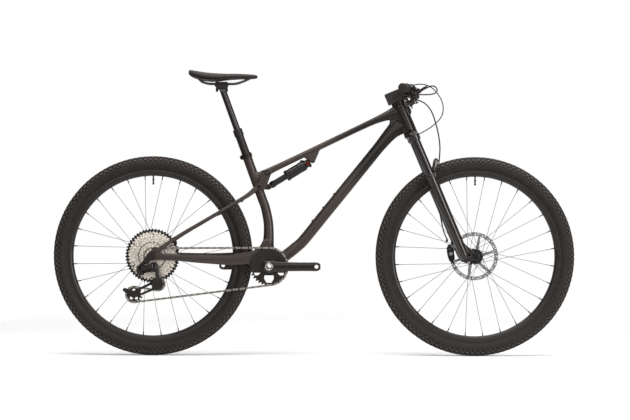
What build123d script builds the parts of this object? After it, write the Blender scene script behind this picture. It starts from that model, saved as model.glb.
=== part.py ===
"""Full-suspension mountain bike as separate sub-parts, in millimetres.

Axes: +X forward, +Y the rider's left, +Z up. The drive side (chainring, cassette) is -Y.
Origin: on the ground, midway between the two axles. Each sub-part goes to parts/NODE.step.
"""
from build123d import *
from math import asin, atan2, cos, degrees, hypot, pi, radians, sin, sqrt, tan
import os

# --- driving dimensions: wheels -------------------------------------------------------------
WHEELBASE = 1194.6
TYRE_RADIUS = 369.0  # 29 x 2.25 tyre
TYRE_WIDTH = 57.0
TYRE_WALL = 3.0
RIM_RADIUS = 316.0  # outer edge of the flanges
RIM_WIDTH = 35.0
RIM_DEPTH = 20.4
RIM_WALL = 2.0
RIM_BED_DROP = 7.0  # from the flange edge down to the bed
SPOKES_PER_SIDE = 14
SPOKE_RADIUS = 1.0
SPOKE_REACH = 1.6  # how far a spoke passes into rim and flange
SPOKE_CROSS_ANGLE = 68.0
VALVE_RADIUS = 3.0
VALVE_LENGTH = 33.0
FLANGE_THICKNESS = 3.5
RUNNING_GAP = 0.05  # radial clearance of a shaft in its bearing
SIDE_GAP = 0.3  # clearance between faces of neighbouring bodies

FRONT_HUB_WIDTH = 110.0
FRONT_AXLE_RADIUS = 7.5
FRONT_HUB_RADIUS = 16.0
FRONT_FLANGE_RADIUS = 28.0
FRONT_FLANGE_Y = 27.0
FRONT_ROTOR_RADIUS = 90.0

REAR_HUB_WIDTH = 148.0
REAR_AXLE_RADIUS = 6.0
REAR_HUB_RADIUS = 20.0
REAR_FLANGE_RADIUS = 31.0
REAR_FLANGE_Y = (-20.0, 32.0)
REAR_ROTOR_RADIUS = 80.0
ROTOR_THICKNESS = 1.8
ROTOR_INSET = 15.2  # from the dropout face to the rotor
ROTOR_TRACK = 14.0  # width of the braking ring

# --- driving dimensions: drivetrain ----------------------------------------------------------
CHAIN_PITCH = 12.7
CHAINRING_TEETH = 34
CHAINRING_Y = -55.0
COG_TEETH = (10, 12, 14, 16, 18, 21, 24, 28, 32, 38, 44, 51)
COG_IN_USE = 2
COG_PITCH = 3.65
SMALL_COG_Y = -68.5
COG_THICKNESS = 1.4
CHAINRING_THICKNESS = 1.8
FREEHUB_RADIUS = 17.0
CHAIN_PLATE_HEIGHT = 8.4
CHAIN_INNER_HALF = 1.45
CHAIN_OUTER_HALF = 2.5
CHAIN_ROLLER_RADIUS = 3.85
GUIDE_PULLEY_TEETH = 12
TENSION_PULLEY_TEETH = 14
PULLEY_THICKNESS = 2.2
GUIDE_PULLEY = (-575.0, 267.0)
TENSION_PULLEY = (-663.0, 227.0)

BOTTOM_BRACKET = (-165.8, 331.4)
SHELL_RADIUS = 24.0
SHELL_WIDTH = 92.0
SHELL_BORE = 20.5
SPINDLE_RADIUS = 14.5
SPINDLE_BORE = 9.0
CRANK_LENGTH = 175.0
CRANK_HUB_RADIUS = 20.0
CRANK_TIP_RADIUS = 15.0
CRANK_THICKNESS = 16.0
CRANK_Y = 80.0  # middle of each arm
PEDAL_HOLE_RADIUS = 7.14

# --- driving dimensions: frame ---------------------------------------------------------------
HEAD_ANGLE = 67.0
FORK_OFFSET = 42.0
HEAD_TUBE_BOTTOM = 520.0  # heights up the steering axis, from the foot of the axle's perpendicular
HEAD_TUBE_TOP = 626.0
HEAD_TUBE_RADIUS = 26.0
HEAD_TUBE_BORE = 21.0
SEAT_ANGLE = 70.0
SEAT_TUBE_TOP = (-252.7, 745.0)
SEAT_TUBE_STRAIGHT = 208.0
SEAT_TUBE_RADIUS = 17.3
TUBE_WALL = 2.2
POST_RADIUS = 15.45
TOP_TUBE_ANGLE = 25.8
TOP_TUBE_START = (-164.0, 685.3)
DOWN_TUBE_ANGLE = 51.2
DOWN_TUBE_START = (-37.7, 428.7)
DOWN_TUBE_HEIGHT = 41.0
BOTTLE_START = 75.0  # from the down tube's bend to the first cage bolt
BOTTLE_PITCH = 64.0
TUBE_CROTCH = ((280.0, 860.0), 38.5)  # point and slant of the seam between top and down tube
MAIN_PIVOT = (-176.0, 413.0)
MAIN_PIVOT_RADIUS = 7.5
MAIN_LUG_RADIUS = 24.0
MAIN_LUG_WIDTH = 40.0
ROCKER_PIVOT = (-174.0, 677.4)
ROCKER_PIVOT_RADIUS = 5.0
ROCKER_INNER = 19.5  # distance of the rocker plates from the middle plane
ROCKER_THICKNESS = 6.5
STAY_PIVOT = (-203.5, 626.3)
SHOCK_REAR_EYE = (-169.1, 625.6)
SHOCK_FRONT_EYE = (-6.7, 724.3)
SHOCK_STROKE = 45.0
SHOCK_EYE_RADIUS = 10.0
SHOCK_EYE_WIDTH = 24.0
SHOCK_CAN_RADIUS = 19.5
SHOCK_SHAFT_RADIUS = 11.5

# --- driving dimensions: fork, seat post, bars -------------------------------------------------
FORK_TRAVEL = 120.0
STANCHION_RADIUS = 16.0
STANCHION_Y = 65.0
LEG_OFFSET = 3.0  # leg plane ahead of the steering axis
LEG_RADIUS = 18.5
LEG_TOP = 345.0
LEG_BOTTOM = 12.0
CROWN_BOTTOM = 481.0
CROWN_TOP = 507.0
STEERER_RADIUS = 14.3
DROPPER_TRAVEL = 130.0
DROPPER_RADIUS = 12.5
COLLAR_BOTTOM = 73.0  # distances up the seat axis from the top of the seat tube
COLLAR_TOP = 99.0
POST_HEAD = 272.0
POST_DEPTH = 190.0
STEM_REACH = 60.0
STEM_HEIGHT = 662.0
STEM_BOTTOM = 640.0
STEM_TOP = 683.5
BAR_WIDTH = 750.0
BAR_RADIUS = 11.1
BAR_CLAMP_RADIUS = 17.5
BAR_BEND_Y = 95.0
BAR_CLAMP_WIDTH = 64.0
BAR_SWEEP = 43.7
BAR_RISE = 4.5
GRIP_RADIUS = 14.8
GRIP_LENGTH = 135.0
LEVER_Y = BAR_WIDTH / 2 - GRIP_LENGTH - 35.0
HOSE_RADIUS = 2.5
CABLE_RADIUS = 2.0
BLADE_HALF = 4.0
PIN_RADIUS = 2.5
LEVER_PIVOT_AHEAD = 30.0
LEVER_PIVOT_DROP = 26.0
SHIFTER_Y = LEVER_Y - 29.0
LOCKOUT_Y = LEVER_Y - 55.0
HOSE_Y = LEVER_Y - 63.0  # where the brake hoses leave the levers
WIRE_Y = SHIFTER_Y - 42.0  # where the cables leave the shifters
SHIFTER_DROP = 40.0

# --- driving dimensions: saddle, rear triangle, derailleur -------------------------------------
RAIL_RADIUS = 3.5
RAIL_Y = 22.0
RAIL_Z = 1007.0
SADDLE_STATIONS = (  # x, half width, underside, top
    (-463, 42, 1046, 1059), (-448, 64, 1036, 1056), (-415, 72, 1027, 1050), (-370, 66, 1024, 1045),
    (-325, 42, 1022, 1044), (-280, 27, 1023, 1044), (-240, 19, 1026, 1042), (-212, 12, 1030, 1039),
)
STAY_Y = 41.0
DROPOUT_INNER = REAR_HUB_WIDTH / 2
DROPOUT_THICKNESS = 8.0
LINK_LENGTH = 45.0
LINK_SPREAD = 7.0
LINK_HALF = 9.0
LINK_SLANT = 40.0  # how far the links carry the cage down as it moves inboard
LINK_OUT = 20.0  # how far the links point outboard at rest
BASE_PIVOT = (-632.0, -82.0, 318.0)

# --- routes of hoses and cables, chosen by hand --------------------------------------------------
FRONT_BRAKE_ROUTE = [
    (366, HOSE_Y, 965), (394, HOSE_Y - 22, 956), (420, 94, 940), (440, 74, 912), (454, 58, 868),
    (465, 48, 820), (470, 42, 775), (466, 39, 730),
]
LOWER_HOSE_ROUTE = [
    (466, 39, 722), (465, 40, 700), (456, 42, 670), (448, 42.5, 640), (452, 42.5, 600), (462, 42.5, 560),
    (472, 42.5, 519), (479, 42, 480), (487, 41.5, 450), (498, 41, 430),
]
LOCKOUT_ROUTE = [
    (349, LOCKOUT_Y, 1004), (386, LOCKOUT_Y - 28, 1011), (424, 80, 1002), (454, 30, 972), (468, -20, 930),
    (464, -52, 886), (440, -66, 846), (404, -67, 812),
]
SHIFT_ROUTE = [
    (330, -WIRE_Y, 934), (346, 24 - WIRE_Y, 928), (354, -84, 928), (350, -58, 936), (340, -38, 946),
    (330, -23.3, 955),
]
REAR_BRAKE_ROUTE = [
    (366, -HOSE_Y, 965), (384, 26 - HOSE_Y, 962), (384, -86, 958), (366, -58, 958), (344, -38, 962),
    (326, -23.6, 965),
]
DROPPER_ROUTE = [
    (330, WIRE_Y, 934), (346, WIRE_Y - 24, 928), (354, 84, 928), (350, 58, 936), (340, 38, 946), (330, 23.3, 955),
]

# --- places worked out from them ---------------------------------------------------------------
REAR_AXLE = (-WHEELBASE / 2, TYRE_RADIUS)
FRONT_AXLE = (WHEELBASE / 2, TYRE_RADIUS)
HEAD_SIN = sin(radians(HEAD_ANGLE))
HEAD_COS = cos(radians(HEAD_ANGLE))
STEER = Plane(
    origin=(FRONT_AXLE[0] - FORK_OFFSET * HEAD_SIN, 0, FRONT_AXLE[1] - FORK_OFFSET * HEAD_COS),
    x_dir=(HEAD_SIN, 0, HEAD_COS),
    z_dir=(-HEAD_COS, 0, HEAD_SIN),
)
SEAT_DIRECTION = (-cos(radians(SEAT_ANGLE)), 0, sin(radians(SEAT_ANGLE)))
SEAT = Plane(
    origin=(SEAT_TUBE_TOP[0], 0, SEAT_TUBE_TOP[1]),
    x_dir=(sin(radians(SEAT_ANGLE)), 0, cos(radians(SEAT_ANGLE))),
    z_dir=SEAT_DIRECTION,
)
COG_Y = SMALL_COG_Y + COG_PITCH * COG_IN_USE
SIDES = (-1, 1)
LINK_PIN = (0, sin(radians(LINK_SLANT)), cos(radians(LINK_SLANT)))
LINK_AHEAD = (
    cos(radians(LINK_OUT)), -sin(radians(LINK_OUT)) * cos(radians(LINK_SLANT)),
    sin(radians(LINK_OUT)) * sin(radians(LINK_SLANT)),
)


def pitch_radius(teeth):
    """Radius of the circle through the chain's pins on a sprocket."""
    return CHAIN_PITCH / (2 * sin(pi / teeth))


# --- shape helpers -------------------------------------------------------------------------------
def rod(start, end, radius, end_radius=None):
    """Round bar, or cone, between two points."""
    axis = Vector(*end) - Vector(*start)
    place = Plane(origin=start, z_dir=axis)
    base = (Align.CENTER, Align.CENTER, Align.MIN)
    if end_radius is None:
        return place * Cylinder(radius, axis.length, align=base)
    return place * Cone(radius, end_radius, axis.length, align=base)


def barrel(centre, y_from, y_to, radius):
    """Cylinder along Y at a point of the side view."""
    low, high = min(y_from, y_to), max(y_from, y_to)
    return rod((centre[0], low, centre[1]), (centre[0], high, centre[1]), radius)


def ring(centre, y_from, y_to, radius, bore):
    """Barrel with a hole along it."""
    return barrel(centre, y_from, y_to, radius) - barrel(centre, y_from, y_to, bore)


def upright(sketch, y_from, y_to):
    """Side-view sketch (x, z) given thickness along Y."""
    low, high = min(y_from, y_to), max(y_from, y_to)
    return extrude(Plane.XZ.offset(-high) * sketch, high - low)


def link_sketch(*circles):
    """Outline stretched round several circles, each (x, z, radius)."""
    edges = ShapeList()
    for x, z, radius in circles:
        edges += (Pos(x, z) * Circle(radius)).edges()
    return make_hull(edges)


def polygon(points, corner=0.0):
    """Closed flat outline with rounded corners."""
    face = make_face(Polyline(*points, close=True))
    if corner:
        face = fillet(face.vertices(), corner)
    return face


def tube_loft(stations):
    """Tube through stations (x, y, z, angle, width, height, corner)."""
    sections = []
    for x, y, z, angle, width, height, corner in stations:
        ahead = (cos(radians(angle)), 0, sin(radians(angle)))
        place = Plane(origin=(x, y, z), x_dir=(0, 1, 0), z_dir=ahead)
        sections.append(place * RectangleRounded(width, height, corner))
    return loft(sections, ruled=True)


def round_loft(stations, across):
    """Round tube through stations (point, direction, radius), straight between them."""
    sections = []
    for point, ahead, radius in stations:
        up = Vector(*across).cross(Vector(*ahead))
        sections.append(Plane(origin=point, x_dir=up, z_dir=ahead) * Circle(radius))
    return loft(sections, ruled=True)


def hollow_core(stations, wall):
    """Space inside a tube that leaves an even wall."""
    inner = []
    for x, y, z, angle, width, height, corner in stations:
        inner.append((x, y, z, angle, width - 2 * wall, height - 2 * wall, max(corner - wall, 1)))
    return tube_loft(inner)


def hollow_loft(stations, wall):
    """Tube with an even wall, open at both ends."""
    return tube_loft(stations) - hollow_core(stations, wall)


def half_space(point, angle, keep):
    """Very large block on one side (+1 above, -1 below) of a slanted plane through a point."""
    size = 2000
    place = Plane(
        origin=(point[0], 0, point[1]), x_dir=(cos(radians(angle)), 0, sin(radians(angle))),
        z_dir=(-sin(radians(angle)), 0, cos(radians(angle))),
    )
    return place * Pos(0, 0, keep * size / 2) * Box(size, size, size)


def bent_tube(points, radius):
    """Hose or wire: straight runs joined by arcs as large as the runs allow."""
    vectors = [Vector(*p) for p in points]
    bends = []
    for before, corner, after in zip(vectors, vectors[1:], vectors[2:]):
        turn = (corner - before).get_angle(after - corner)
        run = min((corner - before).length, (after - corner).length)
        bends.append(0.45 * run / tan(radians(turn) / 2))
    path = FilletPolyline(*vectors, radius=bends)
    start = Plane(origin=path @ 0, z_dir=path % 0)
    return sweep(start * Circle(radius), path=path)


def partway(first, second, share):
    """Point of the side view part of the way from one point to another."""
    return first[0] + (second[0] - first[0]) * share, first[1] + (second[1] - first[1]) * share


def fuse(shapes):
    """Join a list of shapes into one."""
    return shapes[0] + list(shapes[1:])


def sides(make):
    """The same shape made for the right (-1) and the left (+1) side."""
    return [make(side) for side in SIDES]


def on_axis(plane, across, y, along):
    """Point given in a plane's own axes, in the model's axes."""
    return tuple(plane.from_local_coords(Vector(across, y, along)))


# --- wheels ----------------------------------------------------------------------------------------
def wheel_ring(section, axle):
    """Section drawn as (y, radius), turned round the axle."""
    place = Plane(origin=(axle[0], 0, axle[1]), x_dir=(0, 1, 0), z_dir=(-1, 0, 0))
    return revolve(place * section, Axis((axle[0], 0, axle[1]), (0, 1, 0)), 360)


def make_tyre(axle):
    half = TYRE_WIDTH / 2
    bead = RIM_WIDTH / 2 - RIM_WALL
    centre = TYRE_RADIUS - half
    inner = half - TYRE_WALL
    bed = RIM_RADIUS - RIM_BED_DROP
    low = centre - sqrt(half**2 - bead**2)
    low_inner = centre - sqrt(inner**2 - (bead - TYRE_WALL) ** 2)
    outline = [
        Line((-bead, bed), (-bead, low)),
        ThreePointArc((-bead, low), (0, TYRE_RADIUS), (bead, low)),
        Line((bead, low), (bead, bed)),
        Line((bead, bed), (bead - TYRE_WALL, bed)),
        Line((bead - TYRE_WALL, bed), (bead - TYRE_WALL, low_inner)),
        ThreePointArc(
            (bead - TYRE_WALL, low_inner), (0, centre + inner), (-bead + TYRE_WALL, low_inner)
        ),
        Line((-bead + TYRE_WALL, low_inner), (-bead + TYRE_WALL, bed)),
        Line((-bead + TYRE_WALL, bed), (-bead, bed)),
    ]
    return wheel_ring(make_face(outline), axle)


def make_rim(axle):
    half = RIM_WIDTH / 2
    bed = RIM_RADIUS - RIM_BED_DROP
    nose = RIM_RADIUS - RIM_DEPTH
    shoulder = RIM_RADIUS - 0.6 * RIM_DEPTH
    inside = half - RIM_WALL
    outline = polygon(
        [
            (half, RIM_RADIUS), (inside, RIM_RADIUS), (inside, bed), (-inside, bed),
            (-inside, RIM_RADIUS), (-half, RIM_RADIUS), (-half, shoulder),
            (-half / 2, nose), (half / 2, nose), (half, shoulder),
        ]
    )
    chamber = polygon(
        [
            (inside, bed - RIM_WALL), (inside, shoulder + 0.3), (half / 2, nose + RIM_WALL),
            (-half / 2, nose + RIM_WALL), (-inside, shoulder + 0.3), (-inside, bed - RIM_WALL),
        ]
    )
    valve = rod(
        (axle[0], 0, axle[1] + nose + RIM_WALL), (axle[0], 0, axle[1] + nose - VALVE_LENGTH),
        VALVE_RADIUS,
    )
    return Compound(children=[wheel_ring(outline - chamber, axle), valve - wheel_ring(outline, axle)])


def make_spokes(axle, flange_radius, flange_y):
    """Crossed spokes from both flanges to the rim."""
    nose = RIM_RADIUS - RIM_DEPTH + SPOKE_REACH
    step = 360 / SPOKES_PER_SIDE
    spokes = []
    for side, y in enumerate(flange_y):
        for index in range(SPOKES_PER_SIDE):
            lean = SPOKE_CROSS_ANGLE if index % 2 else -SPOKE_CROSS_ANGLE
            at_hub = radians(index * step + side * step / 2 + 6)
            at_rim = at_hub + radians(lean)
            offset = FLANGE_THICKNESS / 2 * (1 if index % 2 else -1) * 0.3
            hub_point = (
                axle[0] + (flange_radius - 3) * cos(at_hub), y + offset,
                axle[1] + (flange_radius - 3) * sin(at_hub),
            )
            rim_point = (
                axle[0] + nose * cos(at_rim), y * 0.12, axle[1] + nose * sin(at_rim),
            )
            spokes.append(rod(hub_point, rim_point, SPOKE_RADIUS))
    return Compound(children=spokes)


def make_hub(axle, width, axle_radius, body_radius, flange_radius, flange_y, right_end):
    """Hub shell with two flanges and end caps, bored for the thru-axle."""
    left_end = width / 2 - SIDE_GAP
    hub = barrel(axle, flange_y[0], flange_y[1], body_radius)
    for y in flange_y:
        hub += barrel(axle, y - FLANGE_THICKNESS / 2, y + FLANGE_THICKNESS / 2, flange_radius)
    rotor_y = width / 2 - ROTOR_INSET
    hub += barrel(axle, flange_y[1], rotor_y - ROTOR_THICKNESS / 2, body_radius + 2)
    hub += barrel(axle, flange_y[1], rotor_y + 3, body_radius)
    hub += barrel(axle, right_end, left_end, axle_radius + 3)
    return hub - barrel(axle, right_end - 1, left_end + 1, axle_radius + RUNNING_GAP)


def make_rotor(axle, y, radius, bore):
    """Drilled brake disc carried on six leaning arms."""
    track = Circle(radius) - Circle(radius - ROTOR_TRACK)
    hub_ring = Circle(bore + 9) - Circle(bore)
    disc = track + hub_ring
    for index in range(6):
        lean = Rot(0, 0, index * 60)
        arm = polygon(
            [(bore + 4, -6), (bore + 4, 6), (radius - ROTOR_TRACK + 3, 26), (radius - ROTOR_TRACK + 4, 17)]
        )
        disc += lean * arm
    holes = []
    rows = 18
    for index in range(rows):
        for shift, inset in ((0, 4.0), (6.5, 8.5)):
            holes.append(Rot(0, 0, index * 360 / rows + shift) * Pos(radius - inset, 0) * Circle(2.2))
    disc = disc - holes
    low = y - ROTOR_THICKNESS / 2
    return upright(Pos(axle[0], axle[1]) * disc, low, low + ROTOR_THICKNESS)


# --- chain drive -------------------------------------------------------------------------------------
def sprocket_sketch(teeth):
    """Toothed outline: each tooth is a short trapezium on the root circle."""
    pitch = pitch_radius(teeth)
    root = pitch - 3.4
    tip = pitch + 2.4
    points = []
    for index in range(teeth):
        centre = 360 / teeth * index
        for radius, share in ((root, -0.36), (tip, -0.1), (tip, 0.1), (root, 0.36)):
            angle = radians(centre + share * 360 / teeth)
            points.append((radius * cos(angle), radius * sin(angle)))
    return make_face(Polyline(*points, close=True))


def make_chainring():
    """Direct-mount ring with four windows."""
    hub_radius = CRANK_HUB_RADIUS + 2
    body = sprocket_sketch(CHAINRING_TEETH)
    web = Circle(pitch_radius(CHAINRING_TEETH) - 7)
    for angle in (45, 135, 225, 315):
        window = Rot(0, 0, angle) * polygon([(32, -9), (32, 9), (52, 20), (55, 0), (52, -20)], 3)
        body -= window
        web -= window
    place = Pos(*BOTTOM_BRACKET)
    body = body - Circle(hub_radius)
    web = web - Circle(hub_radius)
    half = CHAINRING_THICKNESS / 2
    ring_plate = upright(place * body, CHAINRING_Y - half, CHAINRING_Y + half)
    return ring_plate + upright(place * web, CHAINRING_Y - 2.5, CHAINRING_Y + half)


def make_cassette():
    """Twelve sprockets with their carriers, joined on a core that slides on the freehub."""
    parts = []
    bore = FREEHUB_RADIUS
    for index, teeth in enumerate(COG_TEETH):
        y = SMALL_COG_Y + COG_PITCH * index
        cog = sprocket_sketch(teeth)
        pitch = pitch_radius(teeth)
        if pitch > 40:
            for turn in range(8):
                hole = Pos(pitch * 0.64, 0) * Circle(pitch * 0.17)
                cog -= Rot(0, 0, turn * 45 + index * 10) * hole
        cog = cog - Circle(min(bore, pitch - 6))
        low = y - COG_THICKNESS / 2
        parts.append(upright(Pos(*REAR_AXLE) * cog, low, low + COG_THICKNESS))
    first = SMALL_COG_Y + COG_THICKNESS / 2
    last = SMALL_COG_Y + COG_PITCH * (len(COG_TEETH) - 1)
    middle = SMALL_COG_Y + COG_PITCH * 4
    core = ring(REAR_AXLE, middle, last, bore + 4, bore)
    small_core = ring(REAR_AXLE, SMALL_COG_Y, middle, 17.5, 14.2)
    inner_stop = first + COG_PITCH
    freehub = barrel(REAR_AXLE, middle, last + 4, bore) + barrel(REAR_AXLE, inner_stop, middle, 14.2)
    end_cap = barrel(REAR_AXLE, -REAR_HUB_WIDTH / 2 + SIDE_GAP, inner_stop, 10.5)
    bore_cut = barrel(REAR_AXLE, -REAR_HUB_WIDTH, 0, REAR_AXLE_RADIUS + RUNNING_GAP)
    return fuse(parts + [core, small_core, freehub, end_cap]) - bore_cut


def tangent(first, r_first, second, r_second):
    """Unit normal of the line touching both circles; signed radii choose the side."""
    dx, dz = second[0] - first[0], second[1] - first[1]
    span = hypot(dx, dz)
    base = atan2(dz, dx)
    turn = base + pi / 2 - asin((r_first - r_second) / span)
    return cos(turn), sin(turn)


def run_ends(first, r_first, second, r_second):
    """Ends of the chain run that touches two circles, each with a signed radius."""
    nx, nz = tangent(first, r_first, second, r_second)
    start = (first[0] + nx * r_first, first[1] + nz * r_first)
    end = (second[0] + nx * r_second, second[1] + nz * r_second)
    return start, end


def make_chain():
    """Closed chain: side plates all the way round, rollers along the two long free runs."""
    ring_r = pitch_radius(CHAINRING_TEETH)
    cog_r = pitch_radius(COG_TEETH[COG_IN_USE])
    guide_r = pitch_radius(GUIDE_PULLEY_TEETH)
    tension_r = pitch_radius(TENSION_PULLEY_TEETH)
    upper = run_ends(REAR_AXLE, cog_r, BOTTOM_BRACKET, ring_r)
    lower = run_ends(BOTTOM_BRACKET, ring_r, TENSION_PULLEY, tension_r)
    cage = run_ends(TENSION_PULLEY, tension_r, GUIDE_PULLEY, -guide_r)
    rise = run_ends(GUIDE_PULLEY, -guide_r, REAR_AXLE, cog_r)
    half = CHAIN_PLATE_HEIGHT / 2
    solids = []
    for y_low, y_high in ((-CHAIN_OUTER_HALF, -CHAIN_INNER_HALF), (CHAIN_INNER_HALF, CHAIN_OUTER_HALF)):
        solids.append(wrap(BOTTOM_BRACKET, ring_r, upper[1], lower[0], CHAINRING_Y, y_low, y_high, -1))
        solids.append(wrap(REAR_AXLE, cog_r, rise[1], upper[0], COG_Y, y_low, y_high, -1))
        solids.append(wrap(TENSION_PULLEY, tension_r, lower[1], cage[0], COG_Y, y_low, y_high, -1))
        solids.append(wrap(GUIDE_PULLEY, guide_r, cage[1], rise[0], COG_Y, y_low, y_high, 1))
        for ends, y_start, y_end in (
            (upper, COG_Y, CHAINRING_Y), (lower, CHAINRING_Y, COG_Y),
            (cage, COG_Y, COG_Y), (rise, COG_Y, COG_Y),
        ):
            solids.append(strip(ends, y_start, y_end, y_low, y_high, half))
    plates = fuse(solids)
    for ends, y_start, y_end, clear in ((upper, COG_Y, CHAINRING_Y, 30), (lower, CHAINRING_Y, COG_Y, 36)):
        plates += rollers(ends, y_start, y_end, clear)
    return plates


def wrap(centre, radius, enter, leave, y, y_low, y_high, turn):
    """Arc of chain plate round a sprocket; turn is -1 clockwise, +1 anticlockwise."""
    start = degrees(atan2(enter[1] - centre[1], enter[0] - centre[0]))
    stop = degrees(atan2(leave[1] - centre[1], leave[0] - centre[0]))
    sweep_angle = (stop - start) % 360 if turn > 0 else -((start - stop) % 360)
    middle = start + sweep_angle / 2
    half = CHAIN_PLATE_HEIGHT / 2

    def at(size, angle):
        return (centre[0] + size * cos(radians(angle)), centre[1] + size * sin(radians(angle)))

    outer, inner = radius + half, radius - half
    face = make_face([
        ThreePointArc(at(outer, start), at(outer, middle), at(outer, stop)),
        Line(at(outer, stop), at(inner, stop)),
        ThreePointArc(at(inner, stop), at(inner, middle), at(inner, start)),
        Line(at(inner, start), at(outer, start)),
    ])
    return upright(face, y + y_low, y + y_high)


def strip(ends, y_start, y_end, y_low, y_high, half):
    """Straight stretch of chain plate that also steps sideways between the two chain lines."""
    (x0, z0), (x1, z1) = ends
    span = hypot(x1 - x0, z1 - z0)
    ahead = ((x1 - x0) / span, 0, (z1 - z0) / span)
    faces = []
    for x, z, y in ((x0, z0, y_start), (x1, z1, y_end)):
        place = Plane(origin=(x, y + (y_low + y_high) / 2, z), x_dir=(0, 1, 0), z_dir=ahead)
        faces.append(place * Rectangle(y_high - y_low, 2 * half))
    return loft(faces, ruled=True)


def rollers(ends, y_start, y_end, clear):
    """Rollers at the chain pitch along a free run, clear of the teeth at both ends."""
    (x0, z0), (x1, z1) = ends
    span = hypot(x1 - x0, z1 - z0)
    count = int((span - 2 * clear) // CHAIN_PITCH)
    first = (span - count * CHAIN_PITCH) / 2
    shapes = []
    for index in range(count + 1):
        share = (first + index * CHAIN_PITCH) / span
        centre = (x0 + (x1 - x0) * share, z0 + (z1 - z0) * share)
        y = y_start + (y_end - y_start) * share
        middle = (CHAIN_INNER_HALF + CHAIN_OUTER_HALF) / 2
        shapes.append(barrel(centre, y - middle, y + middle, CHAIN_ROLLER_RADIUS))
    return shapes


def make_pulley(centre, teeth):
    sketch = Pos(*centre) * (sprocket_sketch(teeth) - Circle(4.0 + RUNNING_GAP))
    half = PULLEY_THICKNESS / 2
    return upright(sketch, COG_Y - half, COG_Y + half)


def make_crank(side):
    """Crank arm; the right one carries the hollow spindle."""
    reach = CRANK_LENGTH if side < 0 else -CRANK_LENGTH
    x, z = BOTTOM_BRACKET
    low = side * (CRANK_Y - CRANK_THICKNESS / 2)
    high = side * (CRANK_Y + CRANK_THICKNESS / 2)
    arm = upright(link_sketch((x, z, CRANK_HUB_RADIUS), (x + reach, z, CRANK_TIP_RADIUS)), low, high)
    edges = arm.edges().filter_by(lambda e: abs(abs(e.center().Y) - abs(high)) < 0.01)
    arm = fillet(edges, 4)
    boss_end = side * (SHELL_WIDTH / 2 + 3 + SIDE_GAP)
    arm += barrel(BOTTOM_BRACKET, boss_end, low, CRANK_HUB_RADIUS + 2)
    arm -= barrel((x + reach, z), low * 0.8, high * 1.2, PEDAL_HOLE_RADIUS)
    if side < 0:
        arm += barrel(BOTTOM_BRACKET, boss_end, CRANK_Y - CRANK_THICKNESS / 2, SPINDLE_RADIUS)
        return arm - barrel(BOTTOM_BRACKET, -200, 200, SPINDLE_BORE)
    return arm - barrel(BOTTOM_BRACKET, 0, low, SPINDLE_RADIUS) - barrel(BOTTOM_BRACKET, 0, 200, SPINDLE_BORE)


# --- frame ---------------------------------------------------------------------------------------------
def along(start, angle, distance, shift=0.0):
    """Point a distance up a slanted line, moved square to it by shift."""
    c, s = cos(radians(angle)), sin(radians(angle))
    return start[0] + distance * c - shift * s, start[1] + distance * s + shift * c


def head_cylinder(radius, low, high):
    return STEER * Pos(0, 0, low) * Cylinder(
        radius, high - low, align=(Align.CENTER, Align.CENTER, Align.MIN)
    )


def make_head_tube():
    outer = head_cylinder(HEAD_TUBE_RADIUS, HEAD_TUBE_BOTTOM, HEAD_TUBE_TOP)
    return outer - head_cylinder(HEAD_TUBE_BORE, HEAD_TUBE_BOTTOM - 1, HEAD_TUBE_TOP + 1)


def make_seat_tube():
    """Straight upper length for the post, then a bent foot down to the bottom bracket."""
    x0, _, z0 = on_axis(SEAT, 0, 0, -SEAT_TUBE_STRAIGHT)
    xt, _, zt = on_axis(SEAT, 0, 0, 0)
    rows = [
        (xt, zt, -SEAT_ANGLE, SEAT_TUBE_RADIUS),
        (x0, z0, -SEAT_ANGLE, SEAT_TUBE_RADIUS),
        (x0 + 11, z0 - 53, -SEAT_ANGLE - 13, SEAT_TUBE_RADIUS),
        (MAIN_PIVOT[0] + 6, MAIN_PIVOT[1] + 20, -91, SEAT_TUBE_RADIUS),
        (BOTTOM_BRACKET[0] - 2, BOTTOM_BRACKET[1] + 12, -90, SEAT_TUBE_RADIUS + 2),
    ]
    stations = []
    for x, z, angle, radius in rows:
        stations.append(((x, 0, z), (cos(radians(angle)), 0, sin(radians(angle))), radius))
    tube = round_loft(stations, (0, 1, 0))
    tube += barrel(MAIN_PIVOT, -MAIN_LUG_WIDTH / 2, MAIN_LUG_WIDTH / 2, MAIN_LUG_RADIUS)
    tube -= rod(on_axis(SEAT, 0, 0, -POST_DEPTH), on_axis(SEAT, 0, 0, 5), POST_RADIUS)
    tube -= barrel(MAIN_PIVOT, -60, 60, MAIN_PIVOT_RADIUS)
    return tube - barrel(BOTTOM_BRACKET, -80, 80, SHELL_RADIUS)


def make_shell():
    return ring(BOTTOM_BRACKET, -SHELL_WIDTH / 2, SHELL_WIDTH / 2, SHELL_RADIUS, SHELL_BORE)


def make_top_tube():
    """Slim tube from the seat tube to the head tube, with the shock's front bracket under it."""
    rows = [
        (-56, -7, 36, 42, 10), (-30, -2, 36, 34, 10), (10, 0, 36, 24, 8), (250, 0, 38, 21.5, 8),
        (430, 0, 40, 24, 9), (505, -6, 42, 44, 12), (548, -12, 40, 62, 14),
    ]
    stations = []
    for distance, shift, width, height, corner in rows:
        x, z = along(TOP_TUBE_START, TOP_TUBE_ANGLE, distance, shift)
        stations.append((x, 0, z, TOP_TUBE_ANGLE, width, height, corner))
    tube = hollow_loft(stations, TUBE_WALL)
    tube -= half_space(*TUBE_CROTCH, -1)
    tube += shock_bracket()
    tube += barrel(ROCKER_PIVOT, -ROCKER_INNER + SIDE_GAP, ROCKER_INNER - SIDE_GAP, 14)
    tube -= barrel(ROCKER_PIVOT, -60, 60, ROCKER_PIVOT_RADIUS)
    tube -= rod(on_axis(SEAT, 0, 0, -300), on_axis(SEAT, 0, 0, 60), SEAT_TUBE_RADIUS)
    return tube - head_cylinder(HEAD_TUBE_RADIUS, 400, 800)


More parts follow.
